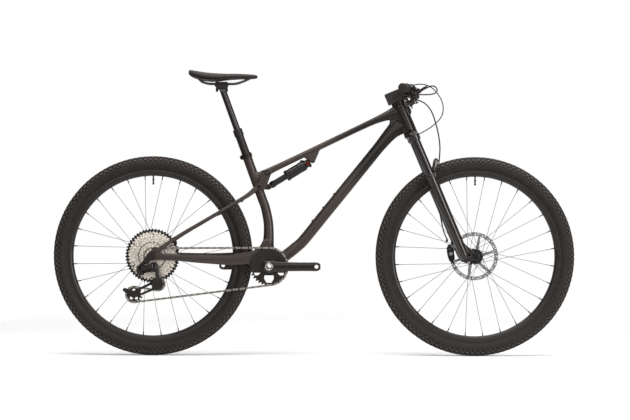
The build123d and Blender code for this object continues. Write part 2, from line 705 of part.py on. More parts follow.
def shock_bracket():
    """Two ears under the top tube that hold the shock's front eye."""
    x, z = SHOCK_FRONT_EYE
    lift = radians(TOP_TUBE_ANGLE)
    eye = (x - TOP_TUBE_START[0]) * cos(lift) + (z - TOP_TUBE_START[1]) * sin(lift)
    root = along(TOP_TUBE_START, TOP_TUBE_ANGLE, eye + 36, 0)
    tip = along(TOP_TUBE_START, TOP_TUBE_ANGLE, eye - 9, 0)
    outline = link_sketch((x, z, 11), (root[0], root[1], 8), (tip[0], tip[1], 8))
    half = SHOCK_EYE_WIDTH / 2
    ears = [
        upright(outline, side * (half + SIDE_GAP), side * (half + 5)) for side in SIDES
    ]
    bolt = barrel(SHOCK_FRONT_EYE, -half - 5, half + 5, 4.0)
    return ears[0] + ears[1] + bolt


def make_down_tube(seat_tube):
    """Large tube from the bottom bracket to the head tube, deepening under the head."""
    x0, z0 = BOTTOM_BRACKET
    stations = [
        (x0 + 4, 0, z0 + 3, 33, 62, 40, 14),
        (-100, 0, 375, 36, 56, 42, 14),
        (DOWN_TUBE_START[0], 0, DOWN_TUBE_START[1], DOWN_TUBE_ANGLE, 50, DOWN_TUBE_HEIGHT, 13),
    ]
    half = DOWN_TUBE_HEIGHT / 2
    rows = [
        (300, half, half, 47, 12), (450, half, half, 46, 12), (506, 27.0, 22.0, 46, 12),
        (534, 40.0, 25.0, 44, 12), (562, 54.0, 30.0, 42, 12),
    ]
    for distance, below, above, width, corner in rows:
        x, z = along(DOWN_TUBE_START, DOWN_TUBE_ANGLE, distance, (above - below) / 2)
        stations.append((x, 0, z, DOWN_TUBE_ANGLE, width, above + below, corner))
    tube = hollow_loft(stations, TUBE_WALL)
    tube -= barrel(BOTTOM_BRACKET, -80, 80, SHELL_RADIUS)
    tube -= half_space(*TUBE_CROTCH, 1)
    tube -= head_cylinder(HEAD_TUBE_RADIUS, 300, 900)
    tube -= bottle_bolts()
    return tube - seat_tube


def bottle_bolt(point, angle, lift):
    """Cage bolt standing square to a tube, lift above the tube's axis."""
    x, z = along(point, angle, 0, lift - 6)
    x2, z2 = along(point, angle, 0, lift + 2.5)
    return rod((x, 0, z), (x2, 0, z2), 4.5)


def bottle_bolts():
    """Three cage bolts along the top of the down tube."""
    bolts = []
    for index in range(3):
        point = along(DOWN_TUBE_START, DOWN_TUBE_ANGLE, BOTTLE_START + BOTTLE_PITCH * index)
        bolts.append(bottle_bolt(point, DOWN_TUBE_ANGLE, DOWN_TUBE_HEIGHT / 2))
    return bolts


def make_frame_bolts():
    """Bottle bolts and the two pivot axles."""
    bolts = bottle_bolts()
    half = MAIN_LUG_WIDTH / 2
    bolts.append(barrel(MAIN_PIVOT, -half - 30, half + 30, MAIN_PIVOT_RADIUS - RUNNING_GAP))
    outer = ROCKER_INNER + ROCKER_THICKNESS + 2
    bolts.append(barrel(ROCKER_PIVOT, -outer, outer, ROCKER_PIVOT_RADIUS - RUNNING_GAP))
    return Compound(children=bolts)


def make_frame_bearings():
    """Headset cups with their covers, and the two bottom bracket cups."""
    steerer = STEERER_RADIUS + RUNNING_GAP
    race = 18.0 + RUNNING_GAP
    upper = head_cylinder(HEAD_TUBE_BORE, HEAD_TUBE_TOP - 12, HEAD_TUBE_TOP)
    upper += head_cylinder(HEAD_TUBE_RADIUS - 1, HEAD_TUBE_TOP, STEM_BOTTOM - SIDE_GAP)
    upper -= head_cylinder(steerer, 0, 900)
    lower = head_cylinder(HEAD_TUBE_BORE, HEAD_TUBE_BOTTOM, HEAD_TUBE_BOTTOM + 12)
    lower += head_cylinder(HEAD_TUBE_RADIUS, HEAD_TUBE_BOTTOM - 4, HEAD_TUBE_BOTTOM)
    lower -= head_cylinder(race, 0, 900)
    cups = []
    for side in SIDES:
        face = side * SHELL_WIDTH / 2
        cup = barrel(BOTTOM_BRACKET, face - side * 14, face, SHELL_BORE)
        cup += barrel(BOTTOM_BRACKET, face, face + side * 3, SHELL_RADIUS - 1)
        cups.append(cup - barrel(BOTTOM_BRACKET, -90, 90, SPINDLE_RADIUS + RUNNING_GAP))
    return Compound(children=[upper, lower] + cups)


def make_seat_clamp():
    """Split collar round the seat tube top, with its bolt at the back."""
    low, high = -14, 4
    collar = rod(on_axis(SEAT, 0, 0, low), on_axis(SEAT, 0, 0, high), SEAT_TUBE_RADIUS + 3)
    lug = SEAT * Pos(-SEAT_TUBE_RADIUS - 4, 0, (low + high) / 2) * Box(9, 16, high - low - 4)
    clamp = collar + lug
    clamp -= rod(on_axis(SEAT, 0, 0, low - 1), on_axis(SEAT, 0, 0, 0), SEAT_TUBE_RADIUS)
    clamp -= rod(on_axis(SEAT, 0, 0, low - 1), on_axis(SEAT, 0, 0, high + 1), POST_RADIUS)
    clamp -= SEAT * Pos(-SEAT_TUBE_RADIUS - 5, 0, (low + high) / 2) * Box(12, 2, high - low + 6)
    return clamp


# --- seat post and saddle -----------------------------------------------------------------------------
def make_post_tube():
    outer = rod(on_axis(SEAT, 0, 0, -POST_DEPTH), on_axis(SEAT, 0, 0, COLLAR_TOP), POST_RADIUS)
    outer += rod(on_axis(SEAT, 0, 0, COLLAR_BOTTOM), on_axis(SEAT, 0, 0, COLLAR_TOP), POST_RADIUS + 2.2)
    bore_from = on_axis(SEAT, 0, 0, -POST_DEPTH + 4)
    return outer - rod(bore_from, on_axis(SEAT, 0, 0, COLLAR_TOP + 1), DROPPER_RADIUS + RUNNING_GAP)


def make_dropper():
    """Sliding post with the cradle that the rails rest in."""
    foot = COLLAR_TOP - (POST_DEPTH + COLLAR_TOP - DROPPER_TRAVEL - 10)
    post = rod(on_axis(SEAT, 0, 0, foot), on_axis(SEAT, 0, 0, POST_HEAD - 12), DROPPER_RADIUS)
    post -= rod(on_axis(SEAT, 0, 0, foot), on_axis(SEAT, 0, 0, POST_HEAD - 30), DROPPER_RADIUS - TUBE_WALL)
    x, _, z = on_axis(SEAT, 0, 0, POST_HEAD)
    cradle = upright(link_sketch((x, z - 5, 9), (x + 8, z - 14, 10)), -17, 17)
    return post + cradle - rail_cut()


def rail_cut():
    """Channels for the two rails."""
    return [rod((-420, side * RAIL_Y, RAIL_Z), (-270, side * RAIL_Y, RAIL_Z), RAIL_RADIUS) for side in SIDES]


def make_saddle_clamp(dropper):
    """Upper clamp plates over the rails, and the two bolts."""
    x = on_axis(SEAT, 0, 0, POST_HEAD)[0]
    plate = Pos(x, 0, RAIL_Z + 3) * Box(44, 2 * RAIL_Y + 14, 7)
    lower = Pos(x, 0, RAIL_Z - 3) * Box(44, 2 * RAIL_Y + 12, 5)
    bolts = [rod((x + dx, 0, RAIL_Z - 30), (x + dx, 0, RAIL_Z + 9), 3) for dx in (-17, 19)]
    clamp = fuse([plate, lower] + bolts)
    return clamp - rail_cut() - dropper


def make_rails():
    """Pair of bent rails: level in the clamp, rising to the shell at both ends."""
    def rail(side):
        points = [
            (-236, side * 9, 1029), (-262, side * 15, 1017), (-292, side * RAIL_Y, RAIL_Z),
            (-396, side * RAIL_Y, RAIL_Z), (-424, side * 32, 1017), (-440, side * 40, 1039),
        ]
        return bent_tube(points, RAIL_RADIUS)
    return Compound(children=sides(rail))


def make_saddle():
    sections = []
    for x, half, low, high in SADDLE_STATIONS:
        place = Plane(origin=(x, 0, (low + high) / 2), x_dir=(0, 1, 0), z_dir=(1, 0, 0))
        sections.append(place * RectangleRounded(2 * half, high - low, (high - low) * 0.42))
    return loft(sections)


# --- rear triangle --------------------------------------------------------------------------------------
def make_chainstays():
    """Both chainstays, their dropouts and the yoke that turns on the main pivot."""
    def stay(side):
        x, z = REAR_AXLE
        stations = [
            (x + 20, side * (DROPOUT_INNER + 4), z - 1, 0, 9, 25, 3),
            (x + 105, side * 69, z - 5, 0, 14, 28, 6),
            (x + 215, side * 51, z - 11, 0, 16, 36, 7),
            (x + 300, side * STAY_Y, z - 12, 0, 15, 44, 7),
            (x + 358, side * STAY_Y, z - 3, 12, 15, 54, 7),
            (MAIN_PIVOT[0] - 26, side * STAY_Y, MAIN_PIVOT[1] - 8, 40, 15, 46, 7),
        ]
        half = MAIN_LUG_WIDTH / 2
        ear = barrel(MAIN_PIVOT, side * (half + SIDE_GAP), side * (STAY_Y + 7.5), 21)
        web = upright(
            link_sketch((MAIN_PIVOT[0], MAIN_PIVOT[1], 19), (MAIN_PIVOT[0] - 30, MAIN_PIVOT[1] - 8, 15)),
            side * (STAY_Y - 7.5), side * (STAY_Y + 7.5),
        )
        plate = upright(
            link_sketch((x, z, 17), (x + 34, z - 1, 11), (x + 16, z + 26, 9)),
            side * DROPOUT_INNER, side * (DROPOUT_INNER + DROPOUT_THICKNESS),
        )
        cavity = hollow_core(stations[1:], TUBE_WALL)
        return fuse([tube_loft(stations), ear, web, plate]) - cavity
    yoke = Pos(MAIN_PIVOT[0] - 36, 0, MAIN_PIVOT[1] - 2) * Box(16, 2 * STAY_Y, 30)
    stays = fuse(sides(stay) + [yoke])
    stays -= barrel(MAIN_PIVOT, -80, 80, MAIN_PIVOT_RADIUS)
    return stays - barrel(REAR_AXLE, -100, 100, REAR_AXLE_RADIUS)


def make_seatstays(chainstays):
    """Both seatstays, the bridge above the tyre and the ears beside the rocker."""
    x, z = REAR_AXLE
    ear_in = ROCKER_INNER + ROCKER_THICKNESS + SIDE_GAP
    ear_y = ear_in + 3.5

    def stay(side):
        stations = [
            (x + 26, side * (DROPOUT_INNER + 5), z + 21, 38, 8, 15, 3),
            (x + 82, side * 71, z + 63, 35, 10, 13, 4),
            (x + 174, side * 60, z + 119, 31, 11, 12, 4),
            (x + 322, side * 43, z + 207, 31, 12, 13, 5),
            (STAY_PIVOT[0] - 22, side * (ear_y + 1), STAY_PIVOT[1] - 15, 34, 8, 18, 3),
        ]
        tip = upright(
            link_sketch((STAY_PIVOT[0], STAY_PIVOT[1], 11), (STAY_PIVOT[0] - 24, STAY_PIVOT[1] - 16, 8)),
            side * ear_in, side * (ear_in + 7),
        )
        return tube_loft(stations) + tip
    bridge = barrel((x + 327, z + 206), -40, 40, 7)
    return fuse(sides(stay) + [bridge]) - chainstays


def make_chainstay_guard(chainstays):
    """Ribbed rubber strip on top of the drive-side chainstay."""
    x, z = REAR_AXLE
    rows = ((105, 69, 9.2), (215, 51, 7.2), (300, STAY_Y, 10.2))
    stations = []
    for ahead, y, lift in rows:
        stations.append((x + ahead, -y, z + lift + 1.2, 0, 12, 4, 1.5))
    strip_body = tube_loft(stations)
    for index in range(14):
        share = (index + 1) / 15
        y = 69 - 18 * share / 0.564 if share < 0.564 else 51 - 10 * (share - 0.564) / 0.436
        lift = 9.2 - 2.0 * share / 0.564 if share < 0.564 else 7.2 + 3.0 * (share - 0.564) / 0.436
        strip_body += Pos(x + 105 + 195 * share, -y, z + lift + 3.2) * Box(6, 11, 4)
    return strip_body - chainstays


def make_rear_axle():
    end = DROPOUT_INNER + DROPOUT_THICKNESS
    axle = barrel(REAR_AXLE, -end, end, REAR_AXLE_RADIUS)
    return axle + barrel(REAR_AXLE, end, end + 4, 11)


def caliper(centre, rotor_y, size, angle):
    """Two-piston caliper straddling a rotor, with pads either side of it."""
    length, depth = size
    body = Rot(0, 0, angle) * Rectangle(length, depth)
    body = fillet(body.vertices(), 6)
    block = upright(Pos(*centre) * body, rotor_y - 10, rotor_y + 14)
    slot = upright(Pos(*centre) * Rot(0, 0, angle) * Pos(0, -4) * Rectangle(length + 2, depth), rotor_y - 1.5,
                   rotor_y + 1.5)
    return block - slot


# --- fork, stem and bars -----------------------------------------------------------------------------------
def leg_rod(side, low, high, radius):
    """Cylinder on a fork leg's axis."""
    return rod(
        on_axis(STEER, LEG_OFFSET, side * STANCHION_Y, low),
        on_axis(STEER, LEG_OFFSET, side * STANCHION_Y, high), radius,
    )


def steer_plate(points, u_from, u_to, corner=0.0):
    """Front-view outline (y, height up the steering axis) given depth along the offset."""
    place = Plane(
        origin=STEER.from_local_coords(Vector(u_from, 0, 0)), x_dir=(0, 1, 0), z_dir=STEER.x_dir
    )
    return extrude(place * polygon(points, corner), u_to - u_from)


def make_crown():
    """Crown with the steerer and the two leg collars."""
    wide = STANCHION_Y + 21
    points = [
        (-wide, CROWN_BOTTOM), (-43, CROWN_BOTTOM), (-43, 492), (-34, 500), (34, 500), (43, 492),
        (43, CROWN_BOTTOM), (wide, CROWN_BOTTOM), (wide, CROWN_TOP - 4), (80, CROWN_TOP),
        (36, CROWN_TOP), (27, 513), (-27, 513), (-36, CROWN_TOP), (-80, CROWN_TOP), (-wide, CROWN_TOP - 4),
    ]
    crown = steer_plate(points, LEG_OFFSET - 20, LEG_OFFSET + 20, 2.5)
    crown += head_cylinder(27, 500, 515)
    crown += head_cylinder(18.0, 515, HEAD_TUBE_BOTTOM + 11)
    crown += head_cylinder(STEERER_RADIUS, 515, STEM_TOP - 4)
    knob = rod(on_axis(STEER, -24, 0, 497), on_axis(STEER, -24, 0, 507), 7)
    crown += knob + STEER * Pos(-19, 0, 503) * Box(12, 10, 6)
    for side in SIDES:
        crown -= leg_rod(side, CROWN_BOTTOM - 1, CROWN_TOP - 4, STANCHION_RADIUS)
    return crown


def make_stanchions():
    foot = LEG_TOP - 150
    top = CROWN_TOP - 4

    def tube(side):
        return leg_rod(side, foot, top, STANCHION_RADIUS) - leg_rod(side, foot, top, STANCHION_RADIUS - TUBE_WALL)
    return Compound(children=sides(tube))


def make_lowers():
    """Magnesium lowers: two legs, the arch over the tyre and the axle dropouts."""
    legs = []
    for side in SIDES:
        leg = leg_rod(side, LEG_BOTTOM, LEG_TOP - 8, LEG_RADIUS)
        leg += leg_rod(side, LEG_TOP - 14, LEG_TOP, LEG_RADIUS + 1)
        foot_low = side * FRONT_HUB_WIDTH / 2
        foot_high = side * (FRONT_HUB_WIDTH / 2 + 18)
        toe = on_axis(STEER, LEG_OFFSET, 0, 30)
        heel = on_axis(STEER, LEG_OFFSET, 0, 4)
        leg += upright(
            link_sketch((FRONT_AXLE[0], FRONT_AXLE[1], 17), (toe[0], toe[2], 15), (heel[0], heel[2], 12)),
            foot_low, foot_high,
        )
        inner = side * (FRONT_HUB_WIDTH / 2)
        leg -= upright(link_sketch((FRONT_AXLE[0], FRONT_AXLE[1], 30), (heel[0], heel[2] - 20, 30)),
                       side * 20, inner)
        legs.append(leg)
    points = [
        (-82, 300), (-48, 300), (-46, 340), (-36, 372), (-24, 381), (24, 381), (36, 372), (46, 340),
        (48, 300), (82, 300), (80, 338), (62, 372), (40, 394), (24, 399), (-24, 399), (-40, 394),
        (-62, 372), (-80, 338),
    ]
    arch = arch_solid(points)
    guide = rod(on_axis(STEER, 48, 39, 378), on_axis(STEER, 59, 39, 383), 4)
    lowers = fuse(legs + [arch, guide])
    for side in SIDES:
        lowers -= leg_rod(side, 60, LEG_TOP + 80, STANCHION_RADIUS + RUNNING_GAP)
    return lowers - barrel(FRONT_AXLE, -100, 100, FRONT_AXLE_RADIUS)


def arch_solid(points):
    """Arch that leans forward as it rises from the leg tops."""
    lean = 30.0
    place = Plane(
        origin=STEER.from_local_coords(Vector(LEG_OFFSET - 9, 0, 310)), x_dir=(0, 1, 0),
        z_dir=(
            STEER.x_dir * cos(radians(lean)) - STEER.z_dir * sin(radians(lean))
        ),
    )
    stretched = [(y, (t - 310) / cos(radians(lean))) for y, t in points]
    return extrude(place * polygon(stretched, 3), 15)


def make_front_axle():
    end = FRONT_HUB_WIDTH / 2 + 18
    axle = barrel(FRONT_AXLE, -end, end, FRONT_AXLE_RADIUS)
    return axle + barrel(FRONT_AXLE, -end - 3, -end, 10)


def make_stem():
    """Deep integrated stem: steerer housing, extension and bar clamp."""
    half = 21.0
    points = [(-35, STEM_BOTTOM), (24, STEM_BOTTOM), (STEM_REACH, STEM_HEIGHT - 20), (STEM_REACH, STEM_TOP),
              (-35, STEM_TOP)]
    place = Plane(origin=STEER.from_local_coords(Vector(0, half, 0)), x_dir=STEER.x_dir, z_dir=(0, -1, 0))
    body = extrude(place * polygon(points, 3), 2 * half)
    clamp_centre = on_axis(STEER, STEM_REACH, 0, STEM_HEIGHT)
    body += barrel((clamp_centre[0], clamp_centre[2]), -26, 26, BAR_CLAMP_RADIUS + 5)
    body -= barrel((clamp_centre[0], clamp_centre[2]), -40, 40, BAR_CLAMP_RADIUS)
    return body - head_cylinder(STEERER_RADIUS, 600, STEM_TOP - 4)


def bar_point(y, drop=0.0, ahead=0.0):
    """Point on the bar's axis at a distance from the middle, moved forward or down."""
    share = max(abs(y) - BAR_BEND_Y, 0) / (BAR_WIDTH / 2 - BAR_BEND_Y)
    across = STEM_REACH - 2.5 - BAR_SWEEP * share + ahead
    return on_axis(STEER, across, y, STEM_HEIGHT + 2.5 + BAR_RISE * share - drop)


def make_handlebar():
    """Bar with a thick middle, tapering to the bend, then swept back to the grips."""
    centre = STEER.from_local_coords(Vector(STEM_REACH, 0, STEM_HEIGHT))
    half = BAR_CLAMP_WIDTH / 2
    inner = Vector(centre.X, -half, centre.Z)
    bend = Vector(*bar_point(-BAR_BEND_Y))
    end = Vector(*bar_point(-BAR_WIDTH / 2))
    taper = inner + (bend - inner) * 0.6
    inward = (inner - bend).normalized()
    outward = (bend - end).normalized()
    right = [
        (end, outward, BAR_RADIUS), (bend, inward + outward, BAR_RADIUS),
        (taper, inward, BAR_RADIUS), (inner, Vector(0, 1, 0), BAR_CLAMP_RADIUS),
    ]
    left = []
    for point, ahead, radius in reversed(right):
        mirrored = Vector(point.X, -point.Y, point.Z)
        left.append((mirrored, Vector(-ahead.X, ahead.Y, -ahead.Z), radius))
    return round_loft(right + left, (1, 0, 0))


def bar_sleeve(y_from, y_to, radius):
    """Tube that fits over the bar between two distances from the middle."""
    outer = rod(bar_point(y_from), bar_point(y_to), radius)
    return outer - rod(bar_point(y_from), bar_point(y_to), BAR_RADIUS)


def make_grips():
    def grip(side):
        end = side * (BAR_WIDTH / 2)
        body = bar_sleeve(end - side * GRIP_LENGTH, end, GRIP_RADIUS)
        collar = bar_sleeve(end - side * GRIP_LENGTH, end - side * (GRIP_LENGTH - 8), GRIP_RADIUS + 2)
        plug = rod(bar_point(end), bar_point(end + side * 2.5), GRIP_RADIUS)
        return body + collar + plug
    return Compound(children=sides(grip))


def lever_plane(side):
    """Axes of the brake lever pivot: across the bar, along it, and up the steering axis."""
    place = bar_point(side * LEVER_Y, LEVER_PIVOT_DROP, LEVER_PIVOT_AHEAD)
    return Plane(origin=place, x_dir=STEER.x_dir, z_dir=STEER.z_dir)


def make_lever_bodies():
    """Brake master cylinders clamped beside the grips, with forked ears for the blades."""
    def body(side):
        near, far = side * (LEVER_Y - 48), side * (LEVER_Y + 12)
        cylinder = rod(bar_point(near, 12, 21), bar_point(far, 12, 21), 9)
        hose_end = rod(bar_point(near - side * 12, 12, 21), bar_point(near, 12, 21), 4.5)
        neck = rod(bar_point(side * LEVER_Y, 6, 10), bar_point(side * LEVER_Y, 12, 21), 7)
        clamp = bar_sleeve(side * (LEVER_Y - 8), side * (LEVER_Y + 8), BAR_RADIUS + 5)
        ears = lever_plane(side) * Pos(-3, 0, 0) * Box(24, 18, 18)
        gap = lever_plane(side) * Pos(3, 0, 0) * Box(40, 30, 2 * BLADE_HALF + 2 * SIDE_GAP)
        bar_space = rod(bar_point(side * 120), bar_point(side * 300), BAR_RADIUS)
        pin = lever_plane(side) * Cylinder(PIN_RADIUS, 18)
        return fuse([cylinder, hose_end, neck, clamp, ears]) - gap - bar_space + pin
    return Compound(children=sides(body))


def make_brake_lever(side):
    """Hooked blade that turns on its pin and reaches out in front of the grip."""
    outline = polygon(
        [(-8, -6), (8, -7), (22, 8), (27, 30), (26, 64), (33, 78), (29, 84), (20, 80), (16, 62),
         (17, 32), (12, 14), (-8, 6)], 2.0,
    )
    if side < 0:
        outline = mirror(outline, Plane.XZ)
    blade = extrude(outline, BLADE_HALF, both=True)
    blade -= Cylinder(PIN_RADIUS + RUNNING_GAP, 60)
    return lever_plane(side) * blade


def make_shifter_bodies():
    """Shifter under the right of the bar and dropper remote under the left."""
    def body(side):
        y = side * SHIFTER_Y
        clamp = bar_sleeve(y - 5, y + 5, BAR_RADIUS + 4)
        post = rod(bar_point(y, 8, 0), bar_point(y, 30, 3), 5)
        drum = rod(bar_point(y, SHIFTER_DROP - 9, 8), bar_point(y, SHIFTER_DROP + 9, 8), 17)
        nose = rod(bar_point(y, SHIFTER_DROP, 8), bar_point(y - side * 32, SHIFTER_DROP + 3, 16), 6)
        bar_space = rod(bar_point(side * 100), bar_point(side * 300), BAR_RADIUS)
        pin = shift_plane(side) * Pos(0, 0, -17) * Cylinder(PIN_RADIUS, 16)
        return fuse([clamp, post, drum, nose, pin]) - bar_space
    lockout = bar_sleeve(LOCKOUT_Y - 6, LOCKOUT_Y + 6, BAR_RADIUS + 3)
    lockout += rod(bar_point(LOCKOUT_Y, -BAR_RADIUS - 1), bar_point(LOCKOUT_Y, -BAR_RADIUS - 16), 9)
    return Compound(children=sides(body) + [lockout])


def shift_plane(side):
    """Axes at the middle of the shifter drum."""
    return Plane(origin=bar_point(side * SHIFTER_Y, SHIFTER_DROP, 8), x_dir=STEER.x_dir, z_dir=STEER.z_dir)


def make_paddle(side, level, reach, width):
    """Thumb paddle under a shifter drum, pointing back towards the thumb."""
    arm = polygon([(-8, -7), (8, -7), (8, 7), (-8, 8), (-reach, 8 + width), (-reach - 6, -6)], 2)
    if side < 0:
        arm = mirror(arm, Plane.XZ)
    blade = Pos(0, 0, level) * extrude(arm, 3.5)
    blade -= Cylinder(PIN_RADIUS + RUNNING_GAP, 90)
    return shift_plane(side) * blade


def make_control_cables():
    """Fork lockout cable, shift and dropper cables, and the right brake hose to the stem."""
    lockout = bent_tube(LOCKOUT_ROUTE, CABLE_RADIUS)
    shift = bent_tube(SHIFT_ROUTE, CABLE_RADIUS)
    rear_brake = bent_tube(REAR_BRAKE_ROUTE, HOSE_RADIUS)
    dropper = bent_tube(DROPPER_ROUTE, CABLE_RADIUS)
    return Compound(children=[lockout, shift, rear_brake, dropper])


def make_front_brake_hose():
    return bent_tube(FRONT_BRAKE_ROUTE, HOSE_RADIUS)


def make_front_caliper(lowers):
    """Caliper behind the left leg, its hose running up to the arch guide."""
    rotor_y = FRONT_HUB_WIDTH / 2 - ROTOR_INSET
    x, z = FRONT_AXLE
    block = caliper((x - 81, z + 19), rotor_y, (74, 34), 100)
    mount = Pos(x - 71, rotor_y + 18, z + 31) * Box(16, 22, 50)
    block += mount
    block -= lowers
    block -= leg_rod(1, LEG_BOTTOM, LEG_TOP, LEG_RADIUS)
    block -= barrel(FRONT_AXLE, rotor_y - 1.5, rotor_y + 1.5, FRONT_ROTOR_RADIUS + 2)
    return Compound(children=[block, bent_tube(LOWER_HOSE_ROUTE, HOSE_RADIUS)])


def make_rear_caliper(chainstays, seatstays):
    rotor_y = DROPOUT_INNER - ROTOR_INSET
    block = caliper((REAR_AXLE[0] + 61, REAR_AXLE[1] + 45), rotor_y, (44, 26), 35)
    block -= barrel(REAR_AXLE, rotor_y - 1.5, rotor_y + 1.5, REAR_ROTOR_RADIUS + 2)
    return block - chainstays - seatstays


# --- rear derailleur -----------------------------------------------------------------------------------------
def link_plane(at):
    """Axes of a parallelogram pivot: x along the links, z along the pivot pin."""
    return Plane(origin=at, x_dir=LINK_AHEAD, z_dir=LINK_PIN)


def make_derailleur_base():
    """Hanger and base knuckle, forked round the two link pivots."""
    y = -(DROPOUT_INNER + DROPOUT_THICKNESS)
    hanger = upright(link_sketch((*REAR_AXLE, 15), (REAR_AXLE[0] - 20, REAR_AXLE[1] - 16, 9)), y - 9, y)
    knuckle = rod(
        (REAR_AXLE[0] - 20, y - 4, REAR_AXLE[1] - 16),
        link_plane(BASE_PIVOT).from_local_coords(Vector(-14, 0, 12)), 7,
    )
    link_space = link_plane(BASE_PIVOT) * Pos(20, 0, 0) * Box(57, 60, 2 * LINK_HALF + 2 * SIDE_GAP)
    return fuse([hanger - link_space, knuckle - link_space, link_fork(BASE_PIVOT, -1)])


def link_fork(at, direction):
    """Two cheeks with pins for the pair of links, joined behind them."""
    place = link_plane(at)
    cheeks = []
    for level in SIDES:
        height = level * (LINK_HALF + SIDE_GAP + 2)
        cheeks.append(place * Pos(direction * 3, 0, height) * Box(16, 2 * LINK_SPREAD + 12, 4))
    back = place * Pos(direction * 13, 0, 0) * Box(8, 2 * LINK_SPREAD + 12, 2 * LINK_HALF + 8 + 2 * SIDE_GAP)
    pins = [
        place * Pos(0, spread, 0) * Cylinder(PIN_RADIUS, 2 * LINK_HALF + 6)
        for spread in (-LINK_SPREAD, LINK_SPREAD)
    ]
    return fuse(cheeks + [back] + pins)


def make_link(spread):
    """One link of the parallelogram."""
    outline = link_sketch((0, spread, 4.6), (LINK_LENGTH, spread, 4.6))
    solid = extrude(outline, LINK_HALF, both=True)
    for x in (0, LINK_LENGTH):
        solid -= Pos(x, spread, 0) * Cylinder(PIN_RADIUS + RUNNING_GAP, 60)
    return link_plane(BASE_PIVOT) * solid


def make_derailleur_knuckle():
    """Knuckle on the links' far ends, with the round housing of the cage spring."""
    far = link_plane(BASE_PIVOT).from_local_coords(Vector(LINK_LENGTH, 0, 0))
    housing = barrel(GUIDE_PULLEY, COG_Y - 9, COG_Y - 27, 22)
    arm = rod(
        link_plane(far).from_local_coords(Vector(15, 0, -10)),
        (GUIDE_PULLEY[0], COG_Y - 18, GUIDE_PULLEY[1] + 8), 7,
    )
    return fuse([link_fork(far, 1), housing, arm]) - barrel(
        GUIDE_PULLEY, COG_Y, COG_Y - 20, 5 + RUNNING_GAP
    )


def make_derailleur_cage():
    """Two cage plates with the pulley pins, hung on the knuckle by a stub axle."""
    outer = link_sketch((*GUIDE_PULLEY, 17), (*TENSION_PULLEY, 13))
    tail = (TENSION_PULLEY[0] - 34, TENSION_PULLEY[1] + 17)
    loop = link_sketch((*TENSION_PULLEY, 12), (*tail, 7))
    window = link_sketch((*partway(GUIDE_PULLEY, TENSION_PULLEY, 0.28), 6),
                         (*partway(GUIDE_PULLEY, TENSION_PULLEY, 0.70), 6))
    plates = []
    for side in SIDES:
        near = COG_Y + side * 4.0
        plates.append(upright(outer - window, near, near + side * 2))
        plates.append(upright(loop, near, near + side * 2))
    pins = [barrel(centre, COG_Y - 5, COG_Y + 5, 4.0) for centre in (GUIDE_PULLEY, TENSION_PULLEY)]
    stub = barrel(GUIDE_PULLEY, COG_Y - 6, COG_Y - 18, 5)
    spacer = barrel(tail, COG_Y - 5, COG_Y + 5, 3)
    return fuse(plates + pins + [stub, spacer])


# --- suspension link and shock ----------------------------------------------------------------------------------
def make_rocker():
    """Two plates either side of the frame, joined by bosses that meet the shock eye."""
    outline = link_sketch((*ROCKER_PIVOT, 13), (*STAY_PIVOT, 11), (*SHOCK_REAR_EYE, 11))
    heart = partway(ROCKER_PIVOT, partway(STAY_PIVOT, SHOCK_REAR_EYE, 0.55), 0.55)
    window = link_sketch((*heart, 5), (heart[0] - 1, heart[1] - 9, 5))
    rocker = []
    for side in SIDES:
        near, far = side * ROCKER_INNER, side * (ROCKER_INNER + ROCKER_THICKNESS)
        plate = upright(outline - window, near, far)
        plate -= barrel(ROCKER_PIVOT, 0, 2 * far, ROCKER_PIVOT_RADIUS)
        plate += barrel(SHOCK_REAR_EYE, side * (SHOCK_EYE_WIDTH / 2 + SIDE_GAP), near, 8)
        rocker.append(plate)
    return Compound(children=rocker)


def shock_point(distance):
    """Point on the shock's axis, measured from the front eye back."""
    span = hypot(SHOCK_FRONT_EYE[0] - SHOCK_REAR_EYE[0], SHOCK_FRONT_EYE[1] - SHOCK_REAR_EYE[1])
    share = distance / span
    x = SHOCK_FRONT_EYE[0] + (SHOCK_REAR_EYE[0] - SHOCK_FRONT_EYE[0]) * share
    z = SHOCK_FRONT_EYE[1] + (SHOCK_REAR_EYE[1] - SHOCK_FRONT_EYE[1]) * share
    return x, 0, z


def make_shock_body():
    """Front eye, valve head and air can, bored for the shaft."""
    half = SHOCK_EYE_WIDTH / 2
    eye = barrel(SHOCK_FRONT_EYE, -half, half, SHOCK_EYE_RADIUS)
    head = rod(shock_point(13), shock_point(34), 15)
    can = rod(shock_point(30), shock_point(112), SHOCK_CAN_RADIUS)
    collar = rod(shock_point(108), shock_point(116), SHOCK_CAN_RADIUS + 1.5)
    dial = rod((shock_point(22)[0], -20, shock_point(22)[2]), (shock_point(22)[0], 0, shock_point(22)[2]), 7)
    body = fuse([eye, head, can, collar, dial])
    body -= rod(shock_point(46), shock_point(130), SHOCK_SHAFT_RADIUS + RUNNING_GAP)
    return body - barrel(SHOCK_FRONT_EYE, -40, 40, 4.0 + RUNNING_GAP)


def make_shock_shaft():
    """Shaft with the rear eye, which sits between the rocker bosses."""
    half = SHOCK_EYE_WIDTH / 2
    span = hypot(SHOCK_FRONT_EYE[0] - SHOCK_REAR_EYE[0], SHOCK_FRONT_EYE[1] - SHOCK_REAR_EYE[1])
    shaft = rod(shock_point(48 + SHOCK_STROKE), shock_point(span - 8), SHOCK_SHAFT_RADIUS)
    eye = barrel(SHOCK_REAR_EYE, -half, half, SHOCK_EYE_RADIUS)
    return shaft + eye


